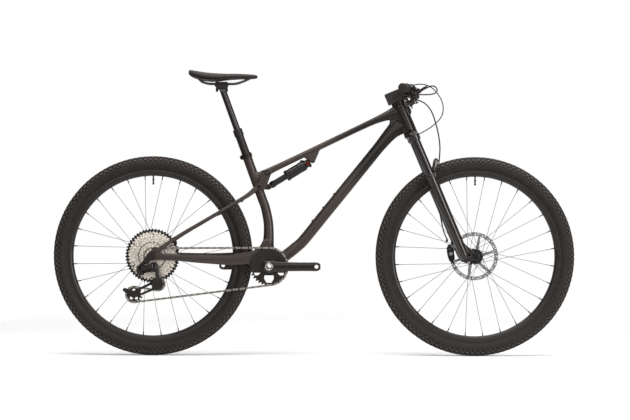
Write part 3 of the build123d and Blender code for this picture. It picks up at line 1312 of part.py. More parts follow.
# --- every sub-part by name -----------------------------------------------------------------------------------------
def make_wheel(name, axle, hub_width, axle_radius, hub_radius, flange_radius, flange_y, right_end, rotor):
    rotor_y = hub_width / 2 - ROTOR_INSET
    return {
        name + "_tyre": make_tyre(axle),
        name + "_rim": make_rim(axle),
        name + "_spokes": make_spokes(axle, flange_radius, flange_y),
        name + "_hub": make_hub(
            axle, hub_width, axle_radius, hub_radius, flange_radius, flange_y, right_end
        ),
        name + "_rotor": make_rotor(axle, rotor_y, rotor, hub_radius),
    }


def make_nodes():
    seat_tube = make_seat_tube()
    chainstays = make_chainstays()
    seatstays = make_seatstays(chainstays)
    dropper = make_dropper()
    lowers = make_lowers()
    nodes = {
        "head_tube": make_head_tube(),
        "top_tube": make_top_tube(),
        "down_tube": make_down_tube(seat_tube),
        "seat_tube": seat_tube,
        "bottom_bracket_shell": make_shell(),
        "frame_bolts": make_frame_bolts(),
        "frame_bearings": make_frame_bearings(),
        "seat_clamp": make_seat_clamp(),
        "dropper_outer_tube": make_post_tube(),
        "dropper_post": dropper,
        "saddle_clamp": make_saddle_clamp(dropper),
        "saddle_rails": make_rails(),
        "saddle": make_saddle(),
        "chainstays": chainstays,
        "seatstays": seatstays,
        "chainstay_guard": make_chainstay_guard(chainstays),
        "rear_axle": make_rear_axle(),
        "rear_caliper": make_rear_caliper(chainstays, seatstays),
        "cassette": make_cassette(),
        "fork_crown": make_crown(),
        "fork_stanchions": make_stanchions(),
        "fork_lowers": lowers,
        "front_axle": make_front_axle(),
        "front_caliper": make_front_caliper(lowers),
        "stem": make_stem(),
        "handlebar": make_handlebar(),
        "grips": make_grips(),
        "brake_lever_bodies": make_lever_bodies(),
        "right_brake_lever": make_brake_lever(-1),
        "left_brake_lever": make_brake_lever(1),
        "shifter_bodies": make_shifter_bodies(),
        "shift_lever": make_paddle(-1, -15.0, 30, 6),
        "release_lever": make_paddle(-1, -22.5, 22, 2),
        "dropper_remote_lever": make_paddle(1, -15.0, 34, 6),
        "control_cables": make_control_cables(),
        "front_brake_hose": make_front_brake_hose(),
        "right_crank": make_crank(-1),
        "left_crank": make_crank(1),
        "chainring": make_chainring(),
        "chain": make_chain(),
        "derailleur_base": make_derailleur_base(),
        "derailleur_outer_link": make_link(-LINK_SPREAD),
        "derailleur_inner_link": make_link(LINK_SPREAD),
        "derailleur_knuckle": make_derailleur_knuckle(),
        "derailleur_cage": make_derailleur_cage(),
        "guide_pulley": make_pulley(GUIDE_PULLEY, GUIDE_PULLEY_TEETH),
        "tension_pulley": make_pulley(TENSION_PULLEY, TENSION_PULLEY_TEETH),
        "rocker": make_rocker(),
        "shock_body": make_shock_body(),
        "shock_shaft": make_shock_shaft(),
    }
    nodes.update(make_wheel(
        "front", FRONT_AXLE, FRONT_HUB_WIDTH, FRONT_AXLE_RADIUS, FRONT_HUB_RADIUS,
        FRONT_FLANGE_RADIUS, (-FRONT_FLANGE_Y, FRONT_FLANGE_Y), -FRONT_HUB_WIDTH / 2 + SIDE_GAP,
        FRONT_ROTOR_RADIUS,
    ))
    nodes.update(make_wheel(
        "rear", REAR_AXLE, REAR_HUB_WIDTH, REAR_AXLE_RADIUS, REAR_HUB_RADIUS, REAR_FLANGE_RADIUS,
        REAR_FLANGE_Y, SMALL_COG_Y + COG_PITCH * len(COG_TEETH) + 2, REAR_ROTOR_RADIUS,
    ))
    return nodes


os.makedirs("parts", exist_ok=True)
for node_name, node_shape in make_nodes().items():
    export_step(node_shape, f"parts/{node_name}.step")
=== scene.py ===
# %% [markdown]
# # A full-suspension mountain bike, dressed for the studio
# The bike arrives as a imported CAD frame: sixty rigid nodes, on a fixed body and twenty-two that turn
# and slide on real joints.  This lesson builds the looks around it, one piece at a time.  Rubber, paint,
# anodised metal and hoses each get their own cell.  Every new piece but the chain and the front brake hose
# rides on a body of the frame, so that it moves with the joints.
#
# The first step loads the frame and keeps its size.

# %% Load the frame
from math import acos, atan2, cos, hypot, pi, radians, sin, tau

import bmesh
import bpy
from mathutils import Matrix, Vector


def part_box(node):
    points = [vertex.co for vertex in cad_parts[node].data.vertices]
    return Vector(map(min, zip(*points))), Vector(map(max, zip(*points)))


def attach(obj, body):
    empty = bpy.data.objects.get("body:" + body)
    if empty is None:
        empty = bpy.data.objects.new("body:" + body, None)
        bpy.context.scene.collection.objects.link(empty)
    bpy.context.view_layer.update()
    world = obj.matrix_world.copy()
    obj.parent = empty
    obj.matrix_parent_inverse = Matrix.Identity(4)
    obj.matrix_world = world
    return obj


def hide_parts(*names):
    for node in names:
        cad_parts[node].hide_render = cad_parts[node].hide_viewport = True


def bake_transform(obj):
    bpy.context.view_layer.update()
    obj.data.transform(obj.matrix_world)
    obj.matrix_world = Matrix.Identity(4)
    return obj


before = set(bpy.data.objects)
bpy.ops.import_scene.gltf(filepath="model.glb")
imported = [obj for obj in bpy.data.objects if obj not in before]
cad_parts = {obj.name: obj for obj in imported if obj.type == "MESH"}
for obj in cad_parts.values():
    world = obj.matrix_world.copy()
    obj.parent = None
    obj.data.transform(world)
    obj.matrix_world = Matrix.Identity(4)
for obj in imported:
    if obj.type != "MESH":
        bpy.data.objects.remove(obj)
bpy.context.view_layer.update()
scene = bpy.context.scene
MM = 0.001

# %% [markdown]
# ## The camera
# A long lens far away, square to the drive side, keeps the wheels round and lets the two halves of
# the fork fall on each other.  The camera stands seven and a half metres off, at half the height of
# the bike.  A tiny roll tilts the ground line.

# %% Camera
CAMERA_PLACE = (0.0032, -7.5, 0.540)
CAMERA_LENS = 115.4
CAMERA_ROLL = -0.16


def add_camera():
    """Camera looking along +Y, square to the drive side."""
    data = bpy.data.cameras.new("studio_camera")
    data.lens = CAMERA_LENS
    data.sensor_width = 36.0
    data.clip_end = 60.0
    camera = bpy.data.objects.new("studio_camera", data)
    scene.collection.objects.link(camera)
    turn = Matrix.Rotation(radians(CAMERA_ROLL), 4, "Y") @ Matrix.Rotation(radians(90), 4, "X")
    camera.matrix_world = Matrix.Translation(CAMERA_PLACE) @ turn
    scene.camera = camera
    return camera


camera = add_camera()
print("camera", CAMERA_PLACE, "lens", camera.data.lens)

# %% [markdown]
# ## Hoses and cables
# Brake hoses and shift cables come next, because their routes decide whether anything else is in the
# way.  A hose is a stiff tube that leaves the lever along the bar, bends in one broad curve and dives
# into the headset or the top of a fork leg.  A NURBS curve whose control points are that route bends
# the way the tube does, and a round bevel gives it its thickness.  Both ends of each one go into a
# part of the bike, so these are held lines rather than free cords.  The front brake hose joins two
# bodies that slide apart, so it is made later, with its caliper.

# %% Routes of the lines
HOSE_ROUTES = {  # radius, then the control points
    "brake_hose_rear": (2.5, [
        (378, -142, 962), (430, -132, 960), (454, -112, 978), (438, -88, 1000), (410, -66, 990),
        (376, -48, 968), (344, -38, 962), (326, -23.6, 965)]),
    "cable_shift": (2.0, [
        (330, -134, 934), (346, -110, 928), (354, -84, 928), (350, -58, 936), (340, -38, 946),
        (330, -23.3, 955)]),
    "cable_dropper": (2.0, [
        (330, 134, 934), (346, 110, 928), (354, 84, 928), (350, 58, 936), (340, 38, 946),
        (330, 23.3, 955)]),
    "cable_lockout": (2.0, [
        (349, 150, 1006), (384, 122, 1018), (430, 80, 1010), (459, 30, 978), (478, -20, 935),
        (474, -52, 890), (446, -64, 858), (412, -67, 834), (380, -66, 818)]),
}


def nurbs_line(name, route, radius):
    """Round line on a NURBS spline whose control points are a route in millimetres."""
    curve = bpy.data.curves.new(name, "CURVE")
    curve.dimensions = "3D"
    curve.bevel_depth = radius * MM
    curve.bevel_resolution = 4
    curve.resolution_u = 12
    curve.use_fill_caps = True
    spline = curve.splines.new("NURBS")
    spline.points.add(len(route) - 1)
    for point, place in zip(spline.points, route):
        point.co = (*[v * MM for v in place], 1.0)
    spline.order_u = 3
    spline.use_endpoint_u = True
    line = bpy.data.objects.new(name, curve)
    scene.collection.objects.link(line)
    return line


lines = {name: nurbs_line(name, route, radius) for name, (radius, route) in HOSE_ROUTES.items()}
print("lines", ", ".join(lines))

# %% [markdown]
# ## Nodes in one call
# Materials, the room and the trees that copy parts are all made of nodes.  One helper makes a node,
# sets its choices and feeds its inputs.  A socket is linked, and anything else becomes the input's own
# value.

# %% Node helpers
WHITE = (1.0, 1.0, 1.0, 1.0)


def feed(tree, node, values):
    """Link or set a node's inputs, each known by its name or its number."""
    for name, value in values.items():
        if isinstance(value, bpy.types.NodeSocket):
            tree.links.new(value, node.inputs[name])
        else:
            node.inputs[name].default_value = value


def add_node(tree, kind, values=None, **choices):
    """New node with its choices made and its inputs fed."""
    node = tree.nodes.new(kind)
    for name, choice in choices.items():
        setattr(node, name, choice)
    feed(tree, node, values or {})
    return node


def math_node(tree, operation, first, second=None):
    """Output of a math node; each value is a number or an output socket."""
    values = {0: first} if second is None else {0: first, 1: second}
    return add_node(tree, "ShaderNodeMath", values, operation=operation).outputs[0]


def object_place(tree):
    """Coordinates in the object's own space."""
    return add_node(tree, "ShaderNodeTexCoord").outputs["Object"]


print("node helpers ready")

# %% [markdown]
# ## The studio
# A pale sweep of floor with soft lamps above gives the plain light of a catalogue.  A tall narrow lamp
# ahead of the bike draws the bright line along the front of each tube.  The floor keeps the shadow
# under the tyres and fades into the white far from the bike.  What the camera sees behind the bike is
# plain white, which is set with the Light Path node.  The room that
# shines on the bike and shows in its gloss is dimmer, so that black parts stay black and the lamps
# draw their highlights.

# %% Floor, world and lamps
FLOOR_SIZE = 16.0
FLOOR_SHARE = 0.72
FLOOR_OWN = 0.08
WORLD_LIGHT = 0.30
FLOOR_FADE = (1.4, 3.2)
KEY_POWER = 215.0
FILL_POWER = 44.0
EDGE_POWER = 120.0


def add_object(name, mesh):
    thing = bpy.data.objects.new(name, mesh)
    scene.collection.objects.link(thing)
    return thing


def set_world():
    """White to the camera and through clear parts, a dim room to everything that it lights."""
    world = bpy.data.worlds.new("studio_white")
    world.use_nodes = True
    tree = world.node_tree
    tree.nodes.clear()
    path = add_node(tree, "ShaderNodeLightPath").outputs
    seen = math_node(tree, "MAXIMUM", path["Is Camera Ray"], path["Is Transmission Ray"])
    plain = add_node(tree, "ShaderNodeBackground", {"Color": WHITE, "Strength": WORLD_LIGHT})
    white = add_node(tree, "ShaderNodeBackground", {"Color": WHITE, "Strength": 1.0})
    mix = add_node(tree, "ShaderNodeMixShader", {0: seen, 1: plain.outputs[0], 2: white.outputs[0]})
    add_node(tree, "ShaderNodeOutputWorld", {"Surface": mix.outputs[0]})
    scene.world = world


def add_lamp(name, place, aim, power, size):
    data = bpy.data.lights.new(name, "AREA")
    data.shape = "RECTANGLE"
    data.size, data.size_y = size
    data.energy = power
    lamp = bpy.data.objects.new(name, data)
    scene.collection.objects.link(lamp)
    lamp.location = place
    lamp.rotation_euler = (Vector(aim) - Vector(place)).to_track_quat("-Z", "Y").to_euler()


def floor_finish():
    """Diffuse white with a little light of its own, which fades to nothing far from the bike."""
    finish = bpy.data.materials.new("floor_white")
    finish.use_nodes = True
    tree = finish.node_tree
    tree.nodes.clear()
    matt = add_node(tree, "ShaderNodeBsdfDiffuse", {"Color": (FLOOR_SHARE, FLOOR_SHARE, FLOOR_SHARE, 1)})
    path = add_node(tree, "ShaderNodeLightPath").outputs
    seen = math_node(tree, "MAXIMUM", path["Is Camera Ray"], path["Is Glossy Ray"])
    own = add_node(tree, "ShaderNodeEmission",
                   {"Color": WHITE, "Strength": math_node(tree, "MULTIPLY", seen, FLOOR_OWN)})
    both = add_node(tree, "ShaderNodeAddShader", {0: matt.outputs[0], 1: own.outputs[0]})
    reach = add_node(tree, "ShaderNodeVectorMath", {0: object_place(tree)}, operation="LENGTH")
    fade = add_node(tree, "ShaderNodeMapRange",
                    {"Value": reach.outputs["Value"], "From Min": FLOOR_FADE[0], "From Max": FLOOR_FADE[1]},
                    interpolation_type="SMOOTHSTEP")
    clear = add_node(tree, "ShaderNodeBsdfTransparent")
    mix = add_node(tree, "ShaderNodeMixShader",
                   {0: fade.outputs["Result"], 1: both.outputs[0], 2: clear.outputs[0]})
    add_node(tree, "ShaderNodeOutputMaterial", {"Surface": mix.outputs[0]})
    return finish


def add_floor():
    """Pale floor that stays white to the eye except where the bike shades it.

    Its colour is chosen so that the lamps only just bring it to white, and a little light of its own
    lifts the rest.  A paler floor would be far too bright and drown the shadows.
    """
    mesh = bpy.data.meshes.new("studio_floor")
    h = FLOOR_SIZE / 2
    mesh.from_pydata([(-h, -h, 0), (h, -h, 0), (h, h, 0), (-h, h, 0)], [], [(0, 1, 2, 3)])
    mesh.materials.append(floor_finish())
    add_object("studio_floor", mesh)


set_world()
add_floor()
add_lamp("key_above", (0.2, -0.6, 3.6), (0, 0, 0.3), KEY_POWER, (4.5, 2.2))
add_lamp("fill_drive_side", (-0.4, -4.5, 1.7), (0, 0, 0.5), FILL_POWER, (3.6, 1.8))
add_lamp("edge_ahead", (3.3, -3.3, 1.3), (0.3, 0, 0.7), EDGE_POWER, (1.5, 2.6))
add_lamp("fill_far_side", (0.3, 4.2, 2.2), (0, 0, 0.5), FILL_POWER, (3.6, 1.8))
scene.view_settings.view_transform = "Standard"
print("studio ready")

# %% [markdown]
# ## Finishes
# A real surface is never one flat colour.  Paint holds flakes, rubber has a fine pebble, turned metal
# has rings left by the tool and anodising drinks the light unevenly.  One helper makes the common
# case: a noise pattern in object coordinates that shifts the colour a little, changes the roughness
# and raises a fine bump.  Values that are the same all over stay on the shader's own sockets.

# %% A finish with grain
WARM_GLOSS = (1.0, 0.86, 0.79, 1.0)


def new_finish(name):
    material = bpy.data.materials.new(name)
    material.use_nodes = True
    shader = material.node_tree.nodes["Principled BSDF"]
    shader.inputs["Specular Tint"].default_value = WARM_GLOSS
    return material, material.node_tree, shader


def object_noise(tree, scale, detail=3.0):
    """Noise on object coordinates."""
    values = {"Vector": object_place(tree), "Scale": scale, "Detail": detail}
    return add_node(tree, "ShaderNodeTexNoise", values).outputs["Fac"]


def ramp(tree, value, low, high, to_low, to_high):
    """Value mapped from one span to another, held at its ends."""
    values = {"Value": value, "From Min": low, "From Max": high, "To Min": to_low, "To Max": to_high}
    return add_node(tree, "ShaderNodeMapRange", values).outputs["Result"]


def two_tone(tree, factor, dark, light):
    """Mix of two colours, each a plain colour or the output socket of one."""
    ends = [end if isinstance(end, bpy.types.NodeSocket) else (*end, 1) for end in (dark, light)]
    values = {"Factor": factor, "A": ends[0], "B": ends[1]}
    return add_node(tree, "ShaderNodeMix", values, data_type="RGBA").outputs["Result"]


def add_bump(tree, shader, height, strength, distance):
    bump = add_node(tree, "ShaderNodeBump", {"Strength": strength, "Distance": distance, "Height": height})
    feed(tree, shader, {"Normal": bump.outputs["Normal"]})


def grained(name, dark, light, rough, metallic=0.0, scale=180.0, bump=0.15, depth=0.0004, coat=0.0,
            sheen=0.0, specular=0.25):
    """Finish whose colour, roughness and height all follow one noise."""
    material, tree, shader = new_finish(name)
    value = object_noise(tree, scale, 4.0)
    feed(tree, shader, {
        "Base Color": two_tone(tree, ramp(tree, value, 0.3, 0.7, 0, 1), dark, light),
        "Roughness": ramp(tree, value, 0.3, 0.7, *rough), "Metallic": metallic,
        "Coat Weight": coat, "Coat Roughness": 0.12, "Specular IOR Level": specular, "Sheen Weight": sheen})
    add_bump(tree, shader, value, bump, depth)
    return material


# %% [markdown]
# ### Frame paint
# The frame wears a dark bronze metallic at the back that fades to black towards the head tube.  The
# fade runs along a slanted line, so its place is a dot product of the object coordinates with one
# direction.  Fine flakes come from a cell pattern, and a satin coat lies over all of it.

# %% Frame paint with its fade
FADE_DIRECTION = (0.866, 0.0, 0.5)
FADE_FROM, FADE_TO = 0.425, 0.520
BRONZE_DARK, BRONZE_LIGHT = (0.040, 0.032, 0.0285), (0.054, 0.0435, 0.039)
NIGHT_DARK, NIGHT_LIGHT = (0.0036, 0.0032, 0.0030), (0.0062, 0.0056, 0.0053)
FLAKE_SCALE = 1400.0


def frame_paint():
    material, tree, shader = new_finish("frame_paint_fade")
    place = object_place(tree)
    along = add_node(tree, "ShaderNodeVectorMath", {0: place, 1: FADE_DIRECTION}, operation="DOT_PRODUCT")
    fade = ramp(tree, along.outputs["Value"], FADE_FROM, FADE_TO, 0, 1)
    cells = add_node(tree, "ShaderNodeTexVoronoi", {"Scale": FLAKE_SCALE, "Vector": place})
    flake = ramp(tree, cells.outputs["Distance"], 0.0, 0.9, 1, 0)
    bronze = two_tone(tree, flake, BRONZE_DARK, BRONZE_LIGHT)
    night = two_tone(tree, flake, NIGHT_DARK, NIGHT_LIGHT)
    feed(tree, shader, {
        "Base Color": two_tone(tree, fade, bronze, night), "Roughness": ramp(tree, fade, 0, 1, 0.40, 0.30),
        "Metallic": ramp(tree, fade, 0, 1, 0.75, 0.1), "Specular IOR Level": 0.25,
        "Coat Weight": 0.16, "Coat Roughness": 0.20})
    add_bump(tree, shader, object_noise(tree, 22.0, 2.0), 0.05, 0.002)
    return material


# %% [markdown]
# ### Turned metal
# Hubs, brake discs and sprockets are cut on a lathe or ground flat, which leaves fine rings about the
# axle.  The pattern is a noise that only knows the distance from that axle.

# %% Rings about an axle
def axle_distance(tree, centre):
    """Distance from an axle along Y at centre (x, z)."""
    shift = add_node(tree, "ShaderNodeVectorMath", {0: object_place(tree), 1: (centre[0], 0, centre[1])},
                     operation="SUBTRACT")
    flat = add_node(tree, "ShaderNodeVectorMath", {0: shift.outputs["Vector"], 1: (1, 0, 1)},
                    operation="MULTIPLY")
    length = add_node(tree, "ShaderNodeVectorMath", {0: flat.outputs["Vector"]}, operation="LENGTH")
    return length.outputs["Value"]


def turned(name, centre, dark, light, rough=(0.22, 0.42), metallic=1.0, rings=1500.0, bump=0.12):
    """Metal with fine tool rings about an axle along Y at centre (x, z)."""
    material, tree, shader = new_finish(name)
    values = {"Scale": rings, "Detail": 2.0, "W": axle_distance(tree, centre)}
    value = add_node(tree, "ShaderNodeTexNoise", values, noise_dimensions="1D").outputs["Fac"]
    feed(tree, shader, {
        "Base Color": two_tone(tree, ramp(tree, value, 0.35, 0.65, 0, 1), dark, light),
        "Roughness": ramp(tree, value, 0.3, 0.7, *rough), "Metallic": metallic})
    add_bump(tree, shader, value, bump, 0.0002)
    return material


def middle(*nodes):
    """Middle of the box of some CAD nodes, as (x, z)."""
    corners = [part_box(node) for node in nodes]
    low = [min(c[0][k] for c in corners) for k in (0, 2)]
    high = [max(c[1][k] for c in corners) for k in (0, 2)]
    return ((low[0] + high[0]) / 2, (low[1] + high[1]) / 2)


REAR_AXLE = middle("rear_hub")
FRONT_AXLE = middle("front_hub")
CRANK_AXLE = middle("chainring")
finishes = {
    "paint": frame_paint(),
    "satin_black": grained("satin_black", (0.010, 0.0092, 0.0088), (0.018, 0.0165, 0.0158), (0.33, 0.42),
                           0.35, 260.0, 0.05, 0.0002, coat=0.15),
    "fork_black": grained("fork_black", (0.0082, 0.0075, 0.0072), (0.0145, 0.0132, 0.0126), (0.24, 0.32),
                          0.2, 90.0, 0.03, 0.0003, coat=0.5),
    "anodised": grained("anodised_black", (0.012, 0.0110, 0.0106), (0.024, 0.022, 0.021), (0.28, 0.36),
                        0.75, 900.0, 0.05, 0.0001),
    "gloss_tube": grained("stanchion_black", (0.0125, 0.0105, 0.0105), (0.0175, 0.0150, 0.0150), (0.10, 0.16),
                          0.6, 1200.0, 0.02, 0.00005, coat=0.6),
    "plastic": grained("moulded_black", (0.009, 0.0083, 0.0080), (0.016, 0.0148, 0.0142), (0.42, 0.55),
                       0.0, 700.0, 0.10, 0.0002),
    "rubber": grained("soft_rubber", (0.010, 0.0092, 0.0089), (0.019, 0.0175, 0.0168), (0.60, 0.78),
                      0.0, 500.0, 0.18, 0.0003),
    "steel": grained("bright_steel", (0.22, 0.215, 0.205), (0.36, 0.35, 0.335), (0.22, 0.34), 1.0,
                     500.0, 0.05, 0.0001),
    "dark_bolt": grained("dark_bolt", (0.035, 0.033, 0.032), (0.07, 0.066, 0.064), (0.28, 0.40), 0.9,
                         700.0, 0.05, 0.0001),
    "lever_metal": grained("lever_metal", (0.050, 0.046, 0.044), (0.085, 0.079, 0.075), (0.26, 0.36), 0.85,
                           500.0, 0.04, 0.0001),
    "hose": grained("hose_black", (0.008, 0.008, 0.008), (0.015, 0.015, 0.016), (0.35, 0.48), 0.0,
                    600.0, 0.06, 0.0001),
    "chainring": turned("chainring_black", CRANK_AXLE, (0.0085, 0.0078, 0.0072), (0.020, 0.0185, 0.0172),
                        (0.34, 0.48), 0.6, 800.0, 0.08),
}
for which, axle in (("front", FRONT_AXLE), ("rear", REAR_AXLE)):
    finishes["rotor_" + which] = turned("rotor_%s_steel" % which, axle, (0.20, 0.20, 0.195),
                                        (0.38, 0.375, 0.37))
    finishes["hub_" + which] = turned("hub_%s_black" % which, axle, (0.012, 0.012, 0.013),
                                      (0.028, 0.028, 0.030), (0.25, 0.38), 0.8, 900.0, 0.06)
print("finishes", len(finishes))

# %% [markdown]
# ## Dressing the CAD nodes
# Eighteen parts already have their final shape in the CAD frame: bearings, bolts, axles, hubs, brake
# discs, levers, tubes and rails.  They keep their objects and get a finish in their material slots.
# Faces that the CAD kept flat or round are shaded so by a modifier, which welds the loose triangles and
# then smooths every edge under thirty degrees.  The mesh underneath is left as it is.

# %% Finish for every node that stays
NODE_FINISH = {
    "frame_bolts": "dark_bolt", "frame_bearings": "anodised", "dropper_outer_tube": "satin_black",
    "dropper_post": "gloss_tube", "saddle_rails": "dark_bolt", "handlebar": "satin_black",
    "fork_stanchions": "gloss_tube", "front_axle": "anodised", "rear_axle": "anodised",
    "front_hub": "hub_front", "rear_hub": "hub_rear", "front_rotor": "rotor_front",
    "rear_rotor": "rotor_rear", "right_brake_lever": "lever_metal", "left_brake_lever": "lever_metal",
    "shift_lever": "plastic", "release_lever": "plastic", "dropper_remote_lever": "anodised",
}
SMOOTH_ANGLE = 30.0
WELD_DISTANCE = 0.00001


def smoothing_group():
    """Node group that marks edges over an angle as sharp and shades the rest smooth."""
    group = bpy.data.node_groups.new("smooth_by_angle", "GeometryNodeTree")
    face = group.interface
    face.new_socket("Geometry", in_out="INPUT", socket_type="NodeSocketGeometry")
    angle = face.new_socket("Angle", in_out="INPUT", socket_type="NodeSocketFloat")
    angle.default_value = radians(SMOOTH_ANGLE)
    face.new_socket("Geometry", in_out="OUTPUT", socket_type="NodeSocketGeometry")
    given = group.nodes.new("NodeGroupInput").outputs
    weld = add_node(group, "GeometryNodeMergeByDistance",
                    {"Geometry": given["Geometry"], "Distance": WELD_DISTANCE})
    edge = add_node(group, "GeometryNodeInputMeshEdgeAngle")
    sharp = add_node(group, "FunctionNodeCompare", {0: edge.outputs["Unsigned Angle"], 1: given["Angle"]})
    soft = add_node(group, "FunctionNodeBooleanMath", {0: sharp.outputs["Result"]}, operation="NOT")
    faces = add_node(group, "GeometryNodeSetShadeSmooth", {"Geometry": weld.outputs["Geometry"]})
    edges = add_node(group, "GeometryNodeSetShadeSmooth",
                     {"Geometry": faces.outputs["Geometry"], "Shade Smooth": soft.outputs[0]},
                     domain="EDGE")
    add_node(group, "NodeGroupOutput", {"Geometry": edges.outputs["Geometry"]})
    return group


smooth_group = smoothing_group()


def dress_node(name, finish_name):
    """Put a finish in every material slot of a CAD node and shade its round faces smooth."""
    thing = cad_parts[name]
    for slot in thing.material_slots:
        slot.link = "OBJECT"
        slot.material = finishes[finish_name]
    smooth = thing.modifiers.new("smooth_by_angle", "NODES")
    smooth.node_group = smooth_group


for node_name, finish_name in NODE_FINISH.items():
    dress_node(node_name, finish_name)
print("dressed", len(NODE_FINISH), "nodes")

# %% [markdown]
# Finished pieces all go through one helper.  It gives a piece its material, its body and the CAD nodes it
# stands for.

# %% Handing a piece over to the frame
def settle(thing, finish, body, slot, *nodes, smooth=True):
    """Give a piece its finish, body and the nodes it replaces; slot is not used."""
    if finish is not None:
        thing.data.materials.clear()
        thing.data.materials.append(finishes[finish] if isinstance(finish, str) else finish)
    if smooth and thing.type == "MESH":
        thing.data.shade_smooth()
    if body is not None:
        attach(thing, body)
    if nodes:
        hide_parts(*nodes)
    return thing


for line in lines.values():
    settle(line, "hose", "steering", "black_plastic", "control_cables")
print("hoses dressed")

# %% [markdown]
# ## Tools for repeated shapes
# A bicycle wheel is one shape made over and over: knobs round the tyre, spokes round the hub.  Copying
# by hand would take hundreds of lines, while a Geometry Nodes tree needs only the number of copies and
# the angle of the first one.  The tree ends in Realize Instances, because the export keeps no
# instances, and the result is then made a plain mesh.

# %% Mesh helpers
def mesh_from(name, points, faces):
    mesh = bpy.data.meshes.new(name)
    mesh.from_pydata(points, [], faces)
    return mesh


def clean(mesh, sharp=None):
    """Merge doubles and turn every face outwards."""
    work = bmesh.new()
    work.from_mesh(mesh)
    bmesh.ops.remove_doubles(work, verts=work.verts, dist=WELD_DISTANCE)
    bmesh.ops.recalc_face_normals(work, faces=work.faces)
    work.to_mesh(mesh)
    work.free()
    mesh.shade_smooth()
    if sharp:
        mesh.set_sharp_from_angle(angle=radians(sharp))
    return mesh


def ring_skin(name, rings, sharp=None, caps=(True, True)):
    """Skin over rings of as many points each, closed by a face on the first and the last ring."""
    count, last = len(rings[0]), len(rings) - 1
    faces = []
    for start in range(0, last * count, count):
        for k in range(count):
            a, b = start + k, start + (k + 1) % count
            faces.append((a, b, b + count, a + count))
    if caps[0]:
        faces.append(tuple(range(count))[::-1])
    if caps[1]:
        faces.append(tuple(range(last * count, (last + 1) * count)))
    return clean(mesh_from(name, [spot for ring in rings for spot in ring], faces), sharp)


def join_meshes(name, meshes):
    """One mesh that holds several others."""
    work = bmesh.new()
    for mesh in meshes:
        work.from_mesh(mesh)
    joined = bpy.data.meshes.new(name)
    work.to_mesh(joined)
    work.free()
    for mesh in meshes:
        bpy.data.meshes.remove(mesh)
    return joined


def absorb(thing, meshes):
    """Add meshes to the mesh that a piece already has."""
    work = bmesh.new()
    for mesh in [thing.data] + meshes:
        work.from_mesh(mesh)
    work.to_mesh(thing.data)
    work.free()
    for mesh in meshes:
        bpy.data.meshes.remove(mesh)


def plain_mesh(thing):
    """Apply an object's modifiers, so that only the plain mesh is left."""
    graph = bpy.context.evaluated_depsgraph_get()
    mesh = bpy.data.meshes.new_from_object(thing.evaluated_get(graph))
    thing.modifiers.clear()
    thing.data = mesh
    return thing


def settle_meshes(name, meshes, sharp, *parts):
    """Join meshes into one piece with its sharp edges marked, and settle it."""
    piece = add_object(name, join_meshes(name, meshes))
    piece.data.set_sharp_from_angle(angle=radians(sharp))
    settle(piece, *parts, smooth=False)
    return len(piece.data.polygons)


def set_inputs(modifier, values):
    """Set a Geometry Nodes modifier's inputs by the identifier of each named socket."""
    for item in modifier.node_group.interface.items_tree:
        if item.item_type == "SOCKET" and item.in_out == "INPUT" and item.name in values:
            modifier[item.identifier] = values[item.name]


def new_tree(name, inputs):
    """Geometry tree with named inputs and one geometry output."""
    group = bpy.data.node_groups.new(name, "GeometryNodeTree")
    face = group.interface
    face.new_socket("Geometry", in_out="INPUT", socket_type="NodeSocketGeometry")
    for label, kind in inputs:
        face.new_socket(label, in_out="INPUT", socket_type="NodeSocket" + kind)
    face.new_socket("Geometry", in_out="OUTPUT", socket_type="NodeSocketGeometry")
    return group, group.nodes.new("NodeGroupInput"), group.nodes.new("NodeGroupOutput")


# %% Tree: copies on a ring
def painted_copies(tree, points, copy, turn, finish, chosen=True):
    """Plain copies of an object's mesh on points, each turned and given a finish."""
    info = add_node(tree, "GeometryNodeObjectInfo", {"Object": copy})
    copies = add_node(tree, "GeometryNodeInstanceOnPoints", {
        "Points": points, "Selection": chosen, "Instance": info.outputs["Geometry"], "Rotation": turn})
    real = add_node(tree, "GeometryNodeRealizeInstances", {"Geometry": copies.outputs["Instances"]})
    paint = add_node(tree, "GeometryNodeSetMaterial",
                     {"Geometry": real.outputs["Geometry"], "Material": finish})
    return paint.outputs["Geometry"]


def ring_tree():
    group, source, target = new_tree("copies_on_a_ring", [
        ("Copy", "Object"), ("Count", "Int"), ("Radius", "Float"), ("Sideways", "Float"),
        ("First Angle", "Float"), ("Centre", "Vector"), ("Finish", "Material")])
    given = source.outputs
    line = add_node(group, "GeometryNodeMeshLine", {"Offset": (0, 0, 0), "Count": given["Count"]})
    index = add_node(group, "GeometryNodeInputIndex")
    step = math_node(group, "DIVIDE", tau, given["Count"])
    turned_by = math_node(group, "MULTIPLY", index.outputs[0], step)
    angle = math_node(group, "ADD", turned_by, given["First Angle"])
    place = add_node(group, "ShaderNodeCombineXYZ", {
        "X": math_node(group, "MULTIPLY", math_node(group, "COSINE", angle), given["Radius"]),
        "Y": given["Sideways"],
        "Z": math_node(group, "MULTIPLY", math_node(group, "SINE", angle), given["Radius"])})
    centred = add_node(group, "ShaderNodeVectorMath", {0: place.outputs[0], 1: given["Centre"]})
    move = add_node(group, "GeometryNodeSetPosition",
                    {"Geometry": line.outputs["Mesh"], "Position": centred.outputs[0]})
    euler = add_node(group, "ShaderNodeCombineXYZ", {"Y": math_node(group, "MULTIPLY", angle, -1.0)})
    turn = add_node(group, "FunctionNodeEulerToRotation", {0: euler.outputs[0]})
    copies = painted_copies(group, move.outputs["Geometry"], given["Copy"], turn.outputs[0],
                            given["Finish"])
    feed(group, target, {"Geometry": copies})
    return group


RING_TREE = ring_tree()


